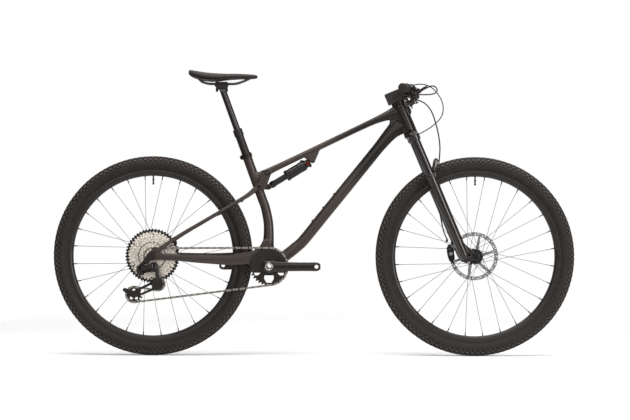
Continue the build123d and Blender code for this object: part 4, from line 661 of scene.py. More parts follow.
def ring_copies(name, source_mesh, count, centre, radius=0.0, sideways=0.0, first=0.0, finish=None):
    """Mesh of count copies of source_mesh about an axle along Y at centre (x, z)."""
    copy = add_object(name + "_copy", source_mesh)
    carrier = add_object(name, bpy.data.meshes.new(name))
    modifier = carrier.modifiers.new("ring", "NODES")
    modifier.node_group = RING_TREE
    set_inputs(modifier, {
        "Copy": copy, "Count": count, "Radius": radius, "Sideways": sideways, "First Angle": first,
        "Centre": (centre[0], 0.0, centre[1]), "Finish": finish})
    mesh = plain_mesh(carrier).data
    bpy.data.objects.remove(carrier)
    bpy.data.objects.remove(copy)
    return mesh


def spun(name, profile, centre, segments=160, closed=True):
    """Surface swept by a profile of (radius, y) points about an axle at centre (x, z)."""
    points, faces = [], []
    count = len(profile)
    for step in range(segments):
        angle = tau * step / segments
        for radius, y in profile:
            points.append((centre[0] + radius * cos(angle), y, centre[1] + radius * sin(angle)))
    last = count if closed else count - 1
    for step in range(segments):
        a, b = step * count, (step + 1) % segments * count
        for k in range(last):
            k2 = (k + 1) % count
            faces.append((a + k, b + k, b + k2, a + k2))
    return clean(mesh_from(name, points, faces))


print("ring tree has", len(RING_TREE.nodes), "nodes")

# %% [markdown]
# ## Tyres
# A cross-country tyre is a smooth carcass with low blocks on it, in four pairs of rows: a centre pair
# that rolls well, a pair beside it, the shoulder knobs and a shallow pair on the side walls.  The
# carcass is a profile spun about the axle.  Each row of knobs is one run of the ring tree, and half of
# the rows are turned by half a step, as the blocks of a real tread are staggered.

# %% Tyre carcass and knobs
TYRE_CENTRE = 0.3405       # radius of the middle of the tyre's section
CARCASS = (0.0246, 0.0264)  # half height and half width of the section
TYRE_BEAD = (0.3145, 0.0150)
TYRE_WALL = 0.0022
CARCASS_SPAN, CARCASS_STEPS = 142, 32  # degrees each way from the tread, and faces
RUBBER_DARK, RUBBER_LIGHT = (0.0100, 0.0088, 0.0080), (0.0190, 0.0170, 0.0158)
# Paler colour of the knob tops: painted light that falls on the tops, with some dust
KNOB_TOP_DUST_AND_LIGHT = (0.046, 0.041, 0.038)
KNOB_TOP_REACH = (0.0269, 0.0286)  # from the middle of the section, where the paler knob tops, painted light with some dust, come in
SIDE_RINGS = 2600.0
SQUARE = ((-1, -1), (1, -1), (1, 1), (-1, 1))
KNOB_ROWS = (  # angle on the section, length round the tyre, width, height, count, half-step turn
    (9.0, 0.0122, 0.0074, 0.0039, 116, 0), (-9.0, 0.0122, 0.0074, 0.0039, 116, 1),
    (28.0, 0.0095, 0.0078, 0.0038, 116, 1), (-28.0, 0.0095, 0.0078, 0.0038, 116, 0),
    (49.0, 0.0118, 0.0082, 0.0037, 116, 0), (-49.0, 0.0118, 0.0082, 0.0037, 116, 1),
    (67.0, 0.0068, 0.0060, 0.0021, 116, 1), (-67.0, 0.0068, 0.0060, 0.0021, 116, 0),
)


def carcass_profile():
    """Closed profile: the outside from bead to bead, then back along the inside."""
    outside, inside = [], []
    for step in range(CARCASS_STEPS + 1):
        angle = radians(-CARCASS_SPAN + 2 * CARCASS_SPAN * step / CARCASS_STEPS)
        outside.append((TYRE_CENTRE + CARCASS[0] * cos(angle), CARCASS[1] * sin(angle)))
        inside.append((TYRE_CENTRE + (CARCASS[0] - TYRE_WALL) * cos(angle),
                       (CARCASS[1] - TYRE_WALL) * sin(angle)))
    low, half = TYRE_BEAD
    return ([(low, -half)] + outside + [(low, half), (low, half - TYRE_WALL)] + inside[::-1]
            + [(low, -half + TYRE_WALL)])


def knob_mesh(section_angle, length, width, height):
    """Tapered block standing on the carcass at one angle of the section."""
    angle = radians(section_angle)
    out = Vector((cos(angle), sin(angle), 0))
    across = Vector((-sin(angle), cos(angle), 0))
    around = Vector((0, 0, 1))
    base = Vector((TYRE_CENTRE + CARCASS[0] * cos(angle), CARCASS[1] * sin(angle), 0))
    rings = []
    for rise, spread in ((-0.0012, 1.12), (height * 0.75, 1.0), (height, 0.80)):
        rings.append([base + out * rise + across * (a * width / 2 * spread)
                      + around * (b * length / 2 * spread) for a, b in SQUARE])
    return ring_skin("knob", rings)


def tyre_rubber(name, centre):
    """Brown-black rubber, painted paler on the tops of the knobs as light with some dust, with fine rings
    moulded in the side wall.
    """
    material, tree, shader = new_finish(name)
    cloud = object_noise(tree, 60.0, 5.0)
    rubber = two_tone(tree, ramp(tree, cloud, 0.3, 0.7, 0, 1), RUBBER_DARK, RUBBER_LIGHT)
    from_axle = axle_distance(tree, centre)
    aside = add_node(tree, "ShaderNodeSeparateXYZ", {0: object_place(tree)}).outputs["Y"]
    out = math_node(tree, "SUBTRACT", from_axle, TYRE_CENTRE)
    squares = math_node(tree, "ADD", math_node(tree, "POWER", out, 2.0),
                        math_node(tree, "POWER", math_node(tree, "ABSOLUTE", aside), 2.0))
    # Knob tops painted paler: painted light on the tops of the knobs, with some dust, against the dark gaps
    top = ramp(tree, math_node(tree, "SQRT", squares), *KNOB_TOP_REACH, 0, 1)
    rings = math_node(tree, "SINE", math_node(tree, "MULTIPLY", from_axle, SIDE_RINGS))
    height = math_node(tree, "ADD", math_node(tree, "MULTIPLY", rings, 0.35),
                       object_noise(tree, 900.0, 3.0))
    feed(tree, shader, {
        "Base Color": two_tone(tree, top, rubber, KNOB_TOP_DUST_AND_LIGHT),
        "Roughness": ramp(tree, cloud, 0.3, 0.7, 0.58, 0.74), "Specular IOR Level": 0.22})
    add_bump(tree, shader, height, 0.22, 0.0003)
    return material


def add_tyre(which, centre):
    meshes = [spun("carcass", carcass_profile(), centre, 180)]
    for angle, length, width, height, count, turned_half in KNOB_ROWS:
        meshes.append(ring_copies("knobs", knob_mesh(angle, length, width, height), count, centre,
                                  first=turned_half * pi / count))
    finish = tyre_rubber(which + "_tyre_rubber", centre)
    faces = settle_meshes(which + "_tyre_tread", meshes, 40, finish, which + "_wheel", "tyre",
                          which + "_tyre")
    print(which, "tyre", faces, "faces")


add_tyre("front", FRONT_AXLE)
add_tyre("rear", REAR_AXLE)

# %% [markdown]
# ## Rims, spokes and nipples
# The rim is a hollow box of alloy or carbon with a rounded nose.  Spokes leave each flange forwards
# and backwards in turn, so that they cross, and end in a nipple at the rim.  One spoke with its
# nipple is modelled, and the ring tree turns it into the seven of its kind.

# %% Rims
RIM_PROFILE = [  # radius, y in millimetres, from the left lip round the nose to the right lip
    (316.0, 17.3), (312.0, 17.5), (306.0, 17.4), (301.0, 15.4), (297.6, 11.5), (295.9, 6.0),
    (295.6, 0.0), (295.9, -6.0), (297.6, -11.5), (301.0, -15.4), (306.0, -17.4), (312.0, -17.5),
    (316.0, -17.3), (316.2, -16.4), (315.6, -15.2), (311.4, -14.9), (310.6, 0.0), (311.4, 14.9),
    (315.6, 15.2), (316.2, 16.4),
]
VALVE_SEAT = 0.2965
VALVE_PROFILE = [(0.0, 0.0), (3.0, 0.0), (3.0, 13.0), (4.4, 13.4), (4.4, 16.5), (3.0, 17.0), (3.0, 27.0),
                 (3.8, 27.4), (3.8, 32.0), (2.2, 33.0), (0.0, 33.0)]


def turned_solid(name, profile, base, axis, segments=14):
    """Solid of revolution: (radius, height) points along an axis from base, in millimetres."""
    axis = Vector(axis).normalized()
    side = axis.orthogonal().normalized()
    other = axis.cross(side)
    angles = [tau * k / segments for k in range(segments)]
    rings = [[Vector(base) + axis * (height * MM)
              + (side * cos(angle) + other * sin(angle)) * (radius * MM) for angle in angles]
             for radius, height in profile]
    return ring_skin(name, rings, 38, (profile[0][0] > 0, profile[-1][0] > 0))


def add_rim(which, centre):
    rim = spun("hoop", [(r * MM, y * MM) for r, y in RIM_PROFILE], centre, 180)
    valve = turned_solid("valve", VALVE_PROFILE, (centre[0], 0, centre[1] + VALVE_SEAT), (0, 0, -1))
    settle_meshes(which + "_rim_hoop", [rim, valve], 42, "rim_black", which + "_wheel", "frame_black",
                  which + "_rim")


finishes["rim_black"] = grained("rim_black", (0.0078, 0.0072, 0.0068), (0.0128, 0.0118, 0.0112),
                                (0.34, 0.44), 0.1, 45.0, 0.04, 0.0004, coat=0.25)
add_rim("front", FRONT_AXLE)
add_rim("rear", REAR_AXLE)

# %% Spokes
SPOKES_PER_SIDE = 14
SPOKE_LEAN = 3 * 360.0 / SPOKES_PER_SIDE  # three crossings space the rim holes evenly
SPOKE_REACH = 0.2960
SPOKE_RADIUS = 0.95


def spoke_mesh(hub_point, rim_point):
    """One spoke with its head at the flange and its nipple at the rim."""
    way = (rim_point - hub_point).normalized()
    length = (rim_point - hub_point).length / MM
    thin, thick = SPOKE_RADIUS * 0.82, SPOKE_RADIUS
    wire = [(0, -2.5), (1.9, -2.5), (1.9, -1.2), (thick, -0.8), (thick, 14), (thin, 20),
            (thin, length - 36), (thick, length - 30), (thick, length - 13), (2.0, length - 13),
            (2.0, length - 3), (2.7, length - 1), (2.7, length + 1.5), (0, length + 1.5)]
    return turned_solid("spoke", wire, hub_point, way, 7)


def add_spokes(which, centre, flange_radius, flange_y):
    step = tau / SPOKES_PER_SIDE
    meshes = []
    for side, y in enumerate(flange_y):
        for odd, lean in ((0, -SPOKE_LEAN), (1, SPOKE_LEAN)):
            near = Vector((flange_radius - 0.003, y + (0.0006 if odd else -0.0006), 0))
            far = Vector((SPOKE_REACH * cos(radians(lean)), y * 0.12, SPOKE_REACH * sin(radians(lean))))
            first = odd * step + side * step / 2 + radians(6)
            meshes.append(ring_copies("spokes", spoke_mesh(near, far), SPOKES_PER_SIDE // 2, centre,
                                      first=first))
    settle_meshes(which + "_spoke_set", meshes, 40, "spoke", which + "_wheel", "steel", which + "_spokes")
    print(which, "spokes", 2 * SPOKES_PER_SIDE)


finishes["spoke"] = grained("spoke_black", (0.020, 0.020, 0.021), (0.036, 0.036, 0.038),
                            (0.30, 0.42), 0.8, 400.0, 0.03, 0.0001)
add_spokes("front", FRONT_AXLE, 0.028, (-0.027, 0.027))
add_spokes("rear", REAR_AXLE, 0.031, (-0.020, 0.032))

# %% [markdown]
# ## The frame as one skin
# A moulded or hydroformed frame has no visible tube joints: each tube swells into its neighbour.  Lofts
# through a few cross-sections give the tubes.  A voxel remesh then melts them into one closed skin,
# and smoothing rounds the creases where they meet, as the filler and paint do on the real frame.

# %% Smooth lofts
SMOOTHING = 0.5


def between(rows, share):
    """Catmull-Rom value of a table of rows at share 0 to 1 along it."""
    spot = share * (len(rows) - 1)
    k = min(int(spot), len(rows) - 2)
    t = spot - k
    four = [rows[max(k - 1, 0)], rows[k], rows[k + 1], rows[min(k + 2, len(rows) - 1)]]
    values = []
    for a, b, c, d in zip(*four):
        values.append(0.5 * (2 * b + (c - a) * t + (2 * a - 5 * b + 4 * c - d) * t * t
                             + (3 * b - a - 3 * c + d) * t ** 3))
    return values


def rounded_section(width, height, square, count=28):
    """Points of a rounded rectangle; square 2 is an ellipse and 4 is nearly a box."""
    points = []
    for k in range(count):
        angle = tau * k / count
        c, s = cos(angle), sin(angle)
        points.append((width / 2 * abs(c) ** (2 / square) * (1 if c >= 0 else -1),
                       height / 2 * abs(s) ** (2 / square) * (1 if s >= 0 else -1)))
    return points


def loft(name, rows, steps=40, count=28):
    """Closed tube through rows (x, y, z, angle, width, height, square), all in millimetres.

    angle is the tube's slope in the side view and width is across the bike.
    """
    rings = []
    for step in range(steps + 1):
        x, y, z, angle, width, height, square = between(rows, step / steps)
        up = Vector((-sin(radians(angle)), 0, cos(radians(angle))))
        rings.append([(Vector((x, y + across, z)) + up * rise) * MM
                      for across, rise in rounded_section(width, height, square, count)])
    return ring_skin(name, rings)


def drum(name, centre, y_from, y_to, radius, segments=40):
    """Closed cylinder along Y at centre (x, z), in millimetres."""
    profile = [(radius, 0), (radius, y_to - y_from)]
    base = (centre[0] * MM, y_from * MM, centre[1] * MM)
    return turned_solid(name, profile, base, (0, 1, 0), segments)


def pole(name, start, end, radius, end_radius=None, segments=32):
    """Closed round bar between two points in millimetres."""
    start, end = Vector(start), Vector(end)
    profile = [(radius, 0), (radius if end_radius is None else end_radius, (end - start).length)]
    return turned_solid(name, profile, start * MM, end - start, segments)


def hull_plate(name, circles, y_from, y_to, segments=16):
    """Plate along Y whose side view is the hull of circles (x, z, radius), in millimetres."""
    work = bmesh.new()
    for y in (y_from, y_to):
        for x, z, radius in circles:
            for k in range(segments):
                angle = tau * k / segments
                work.verts.new(((x + radius * cos(angle)) * MM, y * MM, (z + radius * sin(angle)) * MM))
    result = bmesh.ops.convex_hull(work, input=work.verts)
    bmesh.ops.delete(work, geom=[g for g in result["geom_interior"] if isinstance(g, bmesh.types.BMVert)],
                     context="VERTS")
    mesh = bpy.data.meshes.new(name)
    work.to_mesh(mesh)
    work.free()
    return clean(mesh)


def melt(name, meshes, voxel, rounds):
    """Melt closed meshes into one skin and smooth it."""
    thing = add_object(name, join_meshes(name, meshes))
    remesh = thing.modifiers.new("melt", "REMESH")
    remesh.mode = "VOXEL"
    remesh.voxel_size = voxel * MM
    remesh.use_smooth_shade = True
    smooth = thing.modifiers.new("soften", "SMOOTH")
    smooth.factor = SMOOTHING
    smooth.iterations = rounds
    plain_mesh(thing)
    thing.data.shade_smooth()
    return thing


def flank(side, near, far):
    """Span of y from near to far off the middle, on one side of the bike."""
    return sorted((side * near, side * far))


def cut(thing, mesh):
    """Cut a closed mesh out of a piece."""
    tool = add_object("tool", mesh)
    modifier = thing.modifiers.new("cut", "BOOLEAN")
    modifier.operation = "DIFFERENCE"
    modifier.solver = "EXACT"
    modifier.object = tool
    plain_mesh(thing)
    bpy.data.objects.remove(tool)


def slanted(start, angle, distance, shift=0.0):
    """Point along a slanted line in the side view, moved square to it by shift."""
    c, s = cos(radians(angle)), sin(radians(angle))
    return start[0] + distance * c - shift * s, start[1] + distance * s + shift * c


print("loft helpers ready")

# %% [markdown]
# The main frame: a slim top tube that grows into the head, a deep down tube that bends forward from the
# bottom bracket, and a seat tube that curves down to the main pivot.

# %% Front triangle
TOP_START, TOP_ANGLE = (-164.0, 685.3), 25.8
DOWN_START, DOWN_ANGLE = (-37.7, 428.7), 51.2
HEAD_FOOT, HEAD_UP, HEAD_AHEAD = (558.64, 352.59), (-0.3907, 0.9205), (0.9205, 0.3907)
BRACKET, MAIN_PIVOT, ROCKER_PIVOT = (-165.8, 331.4), (-176.0, 413.0), (-174.0, 677.4)
SHOCK_EYE = (-6.7, 724.3)


def head_point(along, ahead=0.0, y=0.0):
    """Point up the steering axis and ahead of it, in millimetres."""
    return (HEAD_FOOT[0] + HEAD_UP[0] * along + HEAD_AHEAD[0] * ahead, y,
            HEAD_FOOT[1] + HEAD_UP[1] * along + HEAD_AHEAD[1] * ahead)


def top_tube_rows():
    table = (  # distance, shift, width, height, square
        (-58, -6, 36, 40, 2.8), (-30, -2, 36, 33, 2.8), (10, 0, 36, 24.5, 2.8), (120, 0, 37, 22, 2.8),
        (250, 0, 38, 21.8, 2.8), (360, 0, 39, 22.5, 2.8), (430, -1, 40, 25, 2.8), (475, -4, 42, 34, 2.7),
        (505, -7, 43, 46, 2.6), (548, -12, 42, 62, 2.5),
    )
    rows = []
    for distance, shift, width, height, square in table:
        x, z = slanted(TOP_START, TOP_ANGLE, distance, shift)
        rows.append((x, 0, z, TOP_ANGLE, width, height, square))
    return rows


def down_tube_rows():
    rows = [(BRACKET[0] + 2, 0, BRACKET[1] + 2, 30, 60, 40, 2.6), (-130, 0, 352, 33, 58, 41, 2.7),
            (-98, 0, 376, 38, 54, 42, 2.8), (-66, 0, 402, 45, 51, 42, 2.9)]
    table = (
        (0, 20.5, 20.5, 50, 2.9), (100, 20.8, 20.8, 49, 2.9), (200, 21, 21, 48, 2.9),
        (300, 21, 21, 47, 2.9), (400, 21, 21, 46, 2.9), (450, 21.5, 21.5, 46, 2.8),
        (506, 27, 24, 45, 2.7), (540, 40, 25, 43, 2.6), (562, 52, 30, 42, 2.5),
    )
    for distance, below, above, width, square in table:
        x, z = slanted(DOWN_START, DOWN_ANGLE, distance, (above - below) / 2)
        rows.append((x, 0, z, DOWN_ANGLE, width, above + below, square))
    return rows


def seat_tube_rows():
    rows = []
    for distance in (0, 60, 120, 180):
        x, z = -252.7 + 0.3420 * distance, 745.0 - 0.9397 * distance
        rows.append((x, 0, z, -70, 34.8, 34.8, 2.0))
    rows += [(-181.5, 0, 549.5, -70, 35, 35, 2.05), (-170.5, 0, 496.5, -80, 36, 36, 2.2),
             (-168.5, 0, 450, -88, 38, 38, 2.3), (-170, 0, 413, -90, 40, 42, 2.4),
             (-168, 0, 370, -90, 44, 44, 2.4), (-166.5, 0, 340, -90, 52, 40, 2.4)]
    return rows


def add_front_triangle():
    eyes = []
    root = slanted(TOP_START, TOP_ANGLE, 197, -3)
    tip = slanted(TOP_START, TOP_ANGLE, 140, -3)
    crotch = [(*slanted(TOP_START, TOP_ANGLE, 505, -12), 9), (*slanted(TOP_START, TOP_ANGLE, 548, -20), 22),
              (*slanted(DOWN_START, DOWN_ANGLE, 545, 6), 22)]
    eyes.append(hull_plate("gusset", crotch, -17, 17))
    for low in (12.4, -17.4):
        eyes.append(hull_plate("ear", [(*SHOCK_EYE, 11), (*root, 8), (*tip, 8)], low, low + 5))
    meshes = [
        loft("top", top_tube_rows(), 80), loft("down", down_tube_rows(), 90),
        loft("seat", seat_tube_rows(), 70),
        pole("head", head_point(520.5), head_point(625.5), 26.0, segments=48),
        drum("bracket", BRACKET, -46, 46, 24.0), drum("pivot", MAIN_PIVOT, -20, 20, 19.0),
        drum("rocker_lug", ROCKER_PIVOT, -19.2, 19.2, 15.0),
        drum("shock_bolt", SHOCK_EYE, -17.4, -12.4, 8.0), drum("shock_bolt", SHOCK_EYE, 12.4, 17.4, 8.0),
    ] + eyes
    shell = melt("frame_skin", meshes, 2.0, 14)
    cut(shell, drum("bore", BRACKET, -80, 80, 20.5))
    cut(shell, pole("head_bore", head_point(500), head_point(650), 21.0))
    settle(shell, "paint", "frame", "frame_paint", "top_tube", "down_tube", "head_tube", "seat_tube",
           "bottom_bracket_shell", smooth=False)
    shell.data.set_sharp_from_angle(angle=radians(50))
    print("frame skin", len(shell.data.polygons), "faces")


add_front_triangle()

# %% [markdown]
# ## Copies along a path
# A chain and a ribbed guard are both one shape set down again and again along a line.  This tree takes
# the line as a curve, cuts it into equal steps and puts an even and an odd copy on it in turn, each
# turned to the way the line runs there.

# %% Tree: copies along a path
def path_tree():
    group, source, target = new_tree("copies_along_a_path", [
        ("Path", "Object"), ("Even Copy", "Object"), ("Odd Copy", "Object"), ("Count", "Int"),
        ("Even Finish", "Material"), ("Odd Finish", "Material")])
    given = source.outputs
    path = add_node(group, "GeometryNodeObjectInfo", {"Object": given["Path"]})
    steps = add_node(group, "GeometryNodeResampleCurve",
                     {"Curve": path.outputs["Geometry"], "Count": given["Count"]})
    way = add_node(group, "GeometryNodeInputTangent")
    side = add_node(group, "ShaderNodeCombineXYZ", {"Y": 1.0})
    turn = add_node(group, "FunctionNodeAxesToRotation", {0: way.outputs[0], 1: side.outputs[0]},
                    primary_axis="X", secondary_axis="Y")
    index = add_node(group, "GeometryNodeInputIndex")
    odd = math_node(group, "MODULO", index.outputs[0], 2.0)
    even = math_node(group, "SUBTRACT", 1.0, odd)
    join = add_node(group, "GeometryNodeJoinGeometry")
    for label, chosen in (("Even", even), ("Odd", odd)):
        copies = painted_copies(group, steps.outputs["Curve"], given[label + " Copy"], turn.outputs[0],
                                given[label + " Finish"], chosen)
        feed(group, join, {"Geometry": copies})
    feed(group, target, {"Geometry": join.outputs["Geometry"]})
    return group


PATH_TREE = path_tree()


def poly_path(name, points, cyclic=False):
    """Curve object through points in millimetres."""
    curve = bpy.data.curves.new(name, "CURVE")
    curve.dimensions = "3D"
    spline = curve.splines.new("POLY")
    spline.points.add(len(points) - 1)
    for spot, place in zip(spline.points, points):
        spot.co = (*[v * MM for v in place], 1.0)
    spline.use_cyclic_u = cyclic
    return add_object(name, curve)


def path_copies(name, path, even, odd, count, even_finish, odd_finish):
    """Mesh of copies of two meshes set down in turn along a path object."""
    first, second = add_object(name + "_even", even), add_object(name + "_odd", odd)
    carrier = add_object(name, bpy.data.meshes.new(name))
    modifier = carrier.modifiers.new("along", "NODES")
    modifier.node_group = PATH_TREE
    set_inputs(modifier, {"Path": path, "Even Copy": first, "Odd Copy": second, "Count": count,
                          "Even Finish": even_finish, "Odd Finish": odd_finish})
    mesh = plain_mesh(carrier).data
    for thing in (carrier, first, second, path):
        bpy.data.objects.remove(thing)
    return mesh


print("path tree has", len(PATH_TREE.nodes), "nodes")

# %% [markdown]
# ## Chain
# The chain leaves the top of the chainring, runs back to the sprocket in use, winds through the two
# pulleys of the derailleur and returns along the bottom.  Its pitch line is four arcs joined by the
# straight lines that touch them.  Narrow inner links and wide outer links follow each other along it.
# The bottom bracket stays with the frame while the sprockets swing with the rear triangle, so the chain is
# put on neither body.

# %% Chain
CHAIN_PITCH = 12.7
RING_Y, COG_Y = -55.0, -61.2
RING_TEETH, COG_TEETH, GUIDE_TEETH, TENSION_TEETH = 34, 14, 12, 14
GUIDE_PULLEY, TENSION_PULLEY = (-575.0, 267.0), (-663.0, 227.0)
AXLE = (REAR_AXLE[0] / MM, REAR_AXLE[1] / MM)
PLATE_END, PLATE_WAIST = 4.1, 2.9


def pitch_radius(teeth):
    return CHAIN_PITCH / (2 * sin(pi / teeth))


def touching(first, r_first, second, r_second):
    """Ends of the line that touches two circles with signed radii, in the side view."""
    dx, dz = second[0] - first[0], second[1] - first[1]
    span = hypot(dx, dz)
    turn = atan2(dz, dx) + acos((r_first - r_second) / span)
    nx, nz = cos(turn), sin(turn)
    return ((first[0] + nx * r_first, first[1] + nz * r_first),
            (second[0] + nx * r_second, second[1] + nz * r_second))


def arc_points(centre, radius, enter, leave, y, turn, count=24):
    start = atan2(enter[1] - centre[1], enter[0] - centre[0])
    sweep = (atan2(leave[1] - centre[1], leave[0] - centre[0]) - start) * turn % tau * turn
    points = []
    for k in range(count + 1):
        angle = start + sweep * k / count
        points.append((centre[0] + radius * cos(angle), y, centre[1] + radius * sin(angle)))
    return points


def chain_line():
    """Pitch line of the chain: chainring, tension pulley, guide pulley, sprocket."""
    ring, cog = pitch_radius(RING_TEETH), pitch_radius(COG_TEETH)
    guide, tension = pitch_radius(GUIDE_TEETH), pitch_radius(TENSION_TEETH)
    upper = touching(AXLE, cog, BRACKET, ring)
    lower = touching(BRACKET, ring, TENSION_PULLEY, tension)
    cage = touching(TENSION_PULLEY, tension, GUIDE_PULLEY, -guide)
    rise = touching(GUIDE_PULLEY, -guide, AXLE, cog)
    return (arc_points(BRACKET, ring, upper[1], lower[0], RING_Y, -1, 40)
            + arc_points(TENSION_PULLEY, tension, lower[1], cage[0], COG_Y, -1)
            + arc_points(GUIDE_PULLEY, guide, cage[1], rise[0], COG_Y, 1)
            + arc_points(AXLE, cog, rise[1], upper[0], COG_Y, -1))


def link_mesh(near, far, pins):
    """Two waisted side plates from near to far off the middle, with a roller or a pin at each end."""
    outline = []
    for k in range(9):
        angle = pi / 2 - pi * k / 8
        outline.append((CHAIN_PITCH / 2 + PLATE_END * cos(angle), PLATE_END * sin(angle)))
    outline.append((0, -PLATE_WAIST))
    for k in range(9):
        angle = -pi / 2 - pi * k / 8
        outline.append((-CHAIN_PITCH / 2 + PLATE_END * cos(angle), PLATE_END * sin(angle)))
    outline.append((0, PLATE_WAIST))
    meshes = []
    for sides in ((-far, -near), (near, far)):
        meshes.append(ring_skin("plate", [[(x * MM, y * MM, z * MM) for x, z in outline] for y in sides], 40))
    for x in (-CHAIN_PITCH / 2, CHAIN_PITCH / 2):
        if pins:
            meshes.append(drum("pin", (x, 0), -far - 0.25, far + 0.25, 1.8, 10))
        else:
            meshes.append(drum("roller", (x, 0), -near, near, 3.85, 12))
    return join_meshes("link", meshes)


def add_chain():
    line = chain_line()
    length = sum((Vector(a) - Vector(b)).length for a, b in zip(line, line[1:] + line[:1]))
    count = 2 * round(length / CHAIN_PITCH / 2)
    dark = grained("chain_inner_steel", (0.035, 0.032, 0.029), (0.075, 0.070, 0.064), (0.28, 0.40), 0.9,
                   700.0, 0.06, 0.0001)
    light = grained("chain_outer_steel", (0.20, 0.183, 0.160), (0.34, 0.312, 0.272), (0.26, 0.38), 1.0,
                    700.0, 0.06, 0.0001)
    mesh = path_copies("drive_chain", poly_path("chain_path", line, True), link_mesh(1.1, 1.75, False),
                       link_mesh(1.85, 2.5, True), count, dark, light)
    chain = settle(add_object("drive_chain", mesh), None, None, "chain_steel", "chain", smooth=False)
    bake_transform(chain)
    print("chain", count, "links,", len(mesh.polygons), "faces")


add_chain()

# %% [markdown]
# ## Rear triangle
# The chainstays start as flat dropouts, swing in round the tyre and end in a deep yoke on the main
# pivot.  The seatstays are thin enough to bend a little, because there is no pivot at the axle.  Each
# pair is lofted, melted and smoothed like the main frame.

# %% Chainstays and seatstays
STAY_PIVOT = (-203.5, 626.3)
CHAINSTAY_ROWS = (  # behind the axle, y, rise, slope, width, height, square
    (10, 78, 0, 0, 8.4, 29, 3.4), (34, 78, -1.5, 0, 8.8, 25, 3.2), (64, 76, -3, 0, 11, 25.5, 3.0),
    (105, 69, -5, 0, 14, 28, 2.8), (160, 59.5, -8.5, 0, 15.5, 32, 2.8),
    (215, 51, -11, 0, 16, 36, 2.8), (262, 44.5, -12.5, 0, 15.5, 40, 2.8),
    (305, 41.2, -12, 1, 15, 44, 2.8), (340, 41, -9, 6, 15, 45, 2.8), (368, 41, -3, 14, 15, 43, 2.8),
    (392, 41, 9, 30, 15, 39, 2.8), (410, 41, 26, 46, 15, 34, 2.8),
)
SEATSTAY_ROWS = (
    (12, 78.5, 12, 40, 7.6, 20, 3.2), (30, 78.5, 25, 38, 8, 16, 3.0), (82, 71, 63, 35, 10, 13, 2.7),
    (128, 65, 92, 32, 10.6, 12.2, 2.5), (174, 60, 119, 31, 11, 12, 2.5), (250, 51, 164, 31, 11.5, 12, 2.5),
    (322, 43, 207, 31, 12, 13, 2.5), (352, 37.5, 226, 32, 10.5, 15, 2.7),
    (374, 31.2, 243, 34, 8, 18, 3.0), (388, 30.4, 253.5, 34, 7.2, 18, 3.2),
)


def stay_rows(table, side):
    return [(AXLE[0] + ahead, side * y, AXLE[1] + rise, slope, width, height, square)
            for ahead, y, rise, slope, width, height, square in table]


def add_rear_triangle():
    x, z = AXLE
    low, high = [], []
    for side in (-1, 1):
        low.append(loft("stay", stay_rows(CHAINSTAY_ROWS, side), 90))
        dropout = [(x, z, 17), (x + 34, z - 1, 11), (x + 16, z + 26, 8.5)]
        low.append(hull_plate("dropout", dropout, *flank(side, 74, 82)))
        low.append(drum("ear", MAIN_PIVOT, *flank(side, 20.6, 48.5), 18))
        web = [(*MAIN_PIVOT, 17), (MAIN_PIVOT[0] - 18, MAIN_PIVOT[1] - 24, 15)]
        low.append(hull_plate("web", web, *flank(side, 34, 48)))
        high.append(loft("seatstay", stay_rows(SEATSTAY_ROWS, side), 70))
        tip = [(*STAY_PIVOT, 11), (STAY_PIVOT[0] - 24, STAY_PIVOT[1] - 16, 8)]
        high.append(hull_plate("tip", tip, *flank(side, 26.6, 33.4)))
    yoke = [(MAIN_PIVOT[0] - 34 + a, MAIN_PIVOT[1] - 24 + b, 4) for a in (-4, 4) for b in (-11, 9)]
    low.append(hull_plate("yoke", yoke, -41, 41))
    high.append(drum("bridge", (x + 327, z + 206), -41, 41, 7))
    stays = melt("chainstay_skin", low, 1.7, 8)
    cut(stays, drum("axle_bore", AXLE, -100, 100, 9.0))
    settle(stays, "paint", "rear_triangle", "frame_paint", "chainstays", smooth=False)
    thin = melt("seatstay_skin", high, 1.3, 7)
    settle(thin, "paint", "rear_triangle", "frame_paint", "seatstays", smooth=False)
    print("stays", len(stays.data.polygons), len(thin.data.polygons), "faces")


add_rear_triangle()

# %% [markdown]
# The drive-side chainstay wears a soft ribbed guard that quiets the chain.  Its ribs are copies along
# the top of the stay.

# %% Chainstay guard
GUARD_RIBS = 15
RIB_ROWS = ((-3.4, 3.4), (-1.5, 5.6), (1.5, 5.6), (3.4, 3.4))  # along the stay, height
GUARD_ROWS = ((105, 69, 9.2), (160, 59.5, 7.9), (215, 51, 7.2), (262, 44.5, 8.2), (300, 41, 10.2))


def add_guard():
    x, z = AXLE
    base = loft("base", [(x + a, -y, z + lift + 1.4, 0, 12.5, 4.4, 3.2) for a, y, lift in GUARD_ROWS], 40)
    rib = loft("rib", [(a, 0, 0, 90, 10.5, height, 2.6) for a, height in RIB_ROWS], 6, 12)
    path = poly_path("guard_path", [(x + a, -y, z + lift + 3.4) for a, y, lift in GUARD_ROWS])
    ribs = path_copies("ribs", path, rib, rib.copy(), GUARD_RIBS, finishes["rubber"], finishes["rubber"])
    guard = add_object("chainstay_guard_skin", join_meshes("chainstay_guard_skin", [base, ribs]))
    settle(guard, "rubber", "rear_triangle", "rubber", "chainstay_guard")


add_guard()
print("guard ribs", GUARD_RIBS)

# %% [markdown]
# ## Fork
# The lowers are one magnesium casting: two legs, an arch that leans forward over the tyre and a foot at
# each end of the axle.  The crown is a forging that holds both stanchions.  A sweep with its own depth
# direction makes the arch and the crown's bridge.

# %% Sweeps and the fork
def sweep(name, rows, depth_axis, steps=40, count=24):
    """Closed tube through rows (x, y, z, depth, width, square); depth lies along depth_axis."""
    depth_axis = Vector(depth_axis).normalized()
    places = [between(rows, step / steps) for step in range(steps + 1)]
    rings = []
    for step, (x, y, z, depth, width, square) in enumerate(places):
        before, after = places[max(step - 1, 0)], places[min(step + 1, steps)]
        way = Vector(after[:3]) - Vector(before[:3])
        across = way.cross(depth_axis).normalized()
        rings.append([(Vector((x, y, z)) + depth_axis * a + across * b) * MM
                      for a, b in rounded_section(depth, width, square, count)])
    return ring_skin(name, rings)


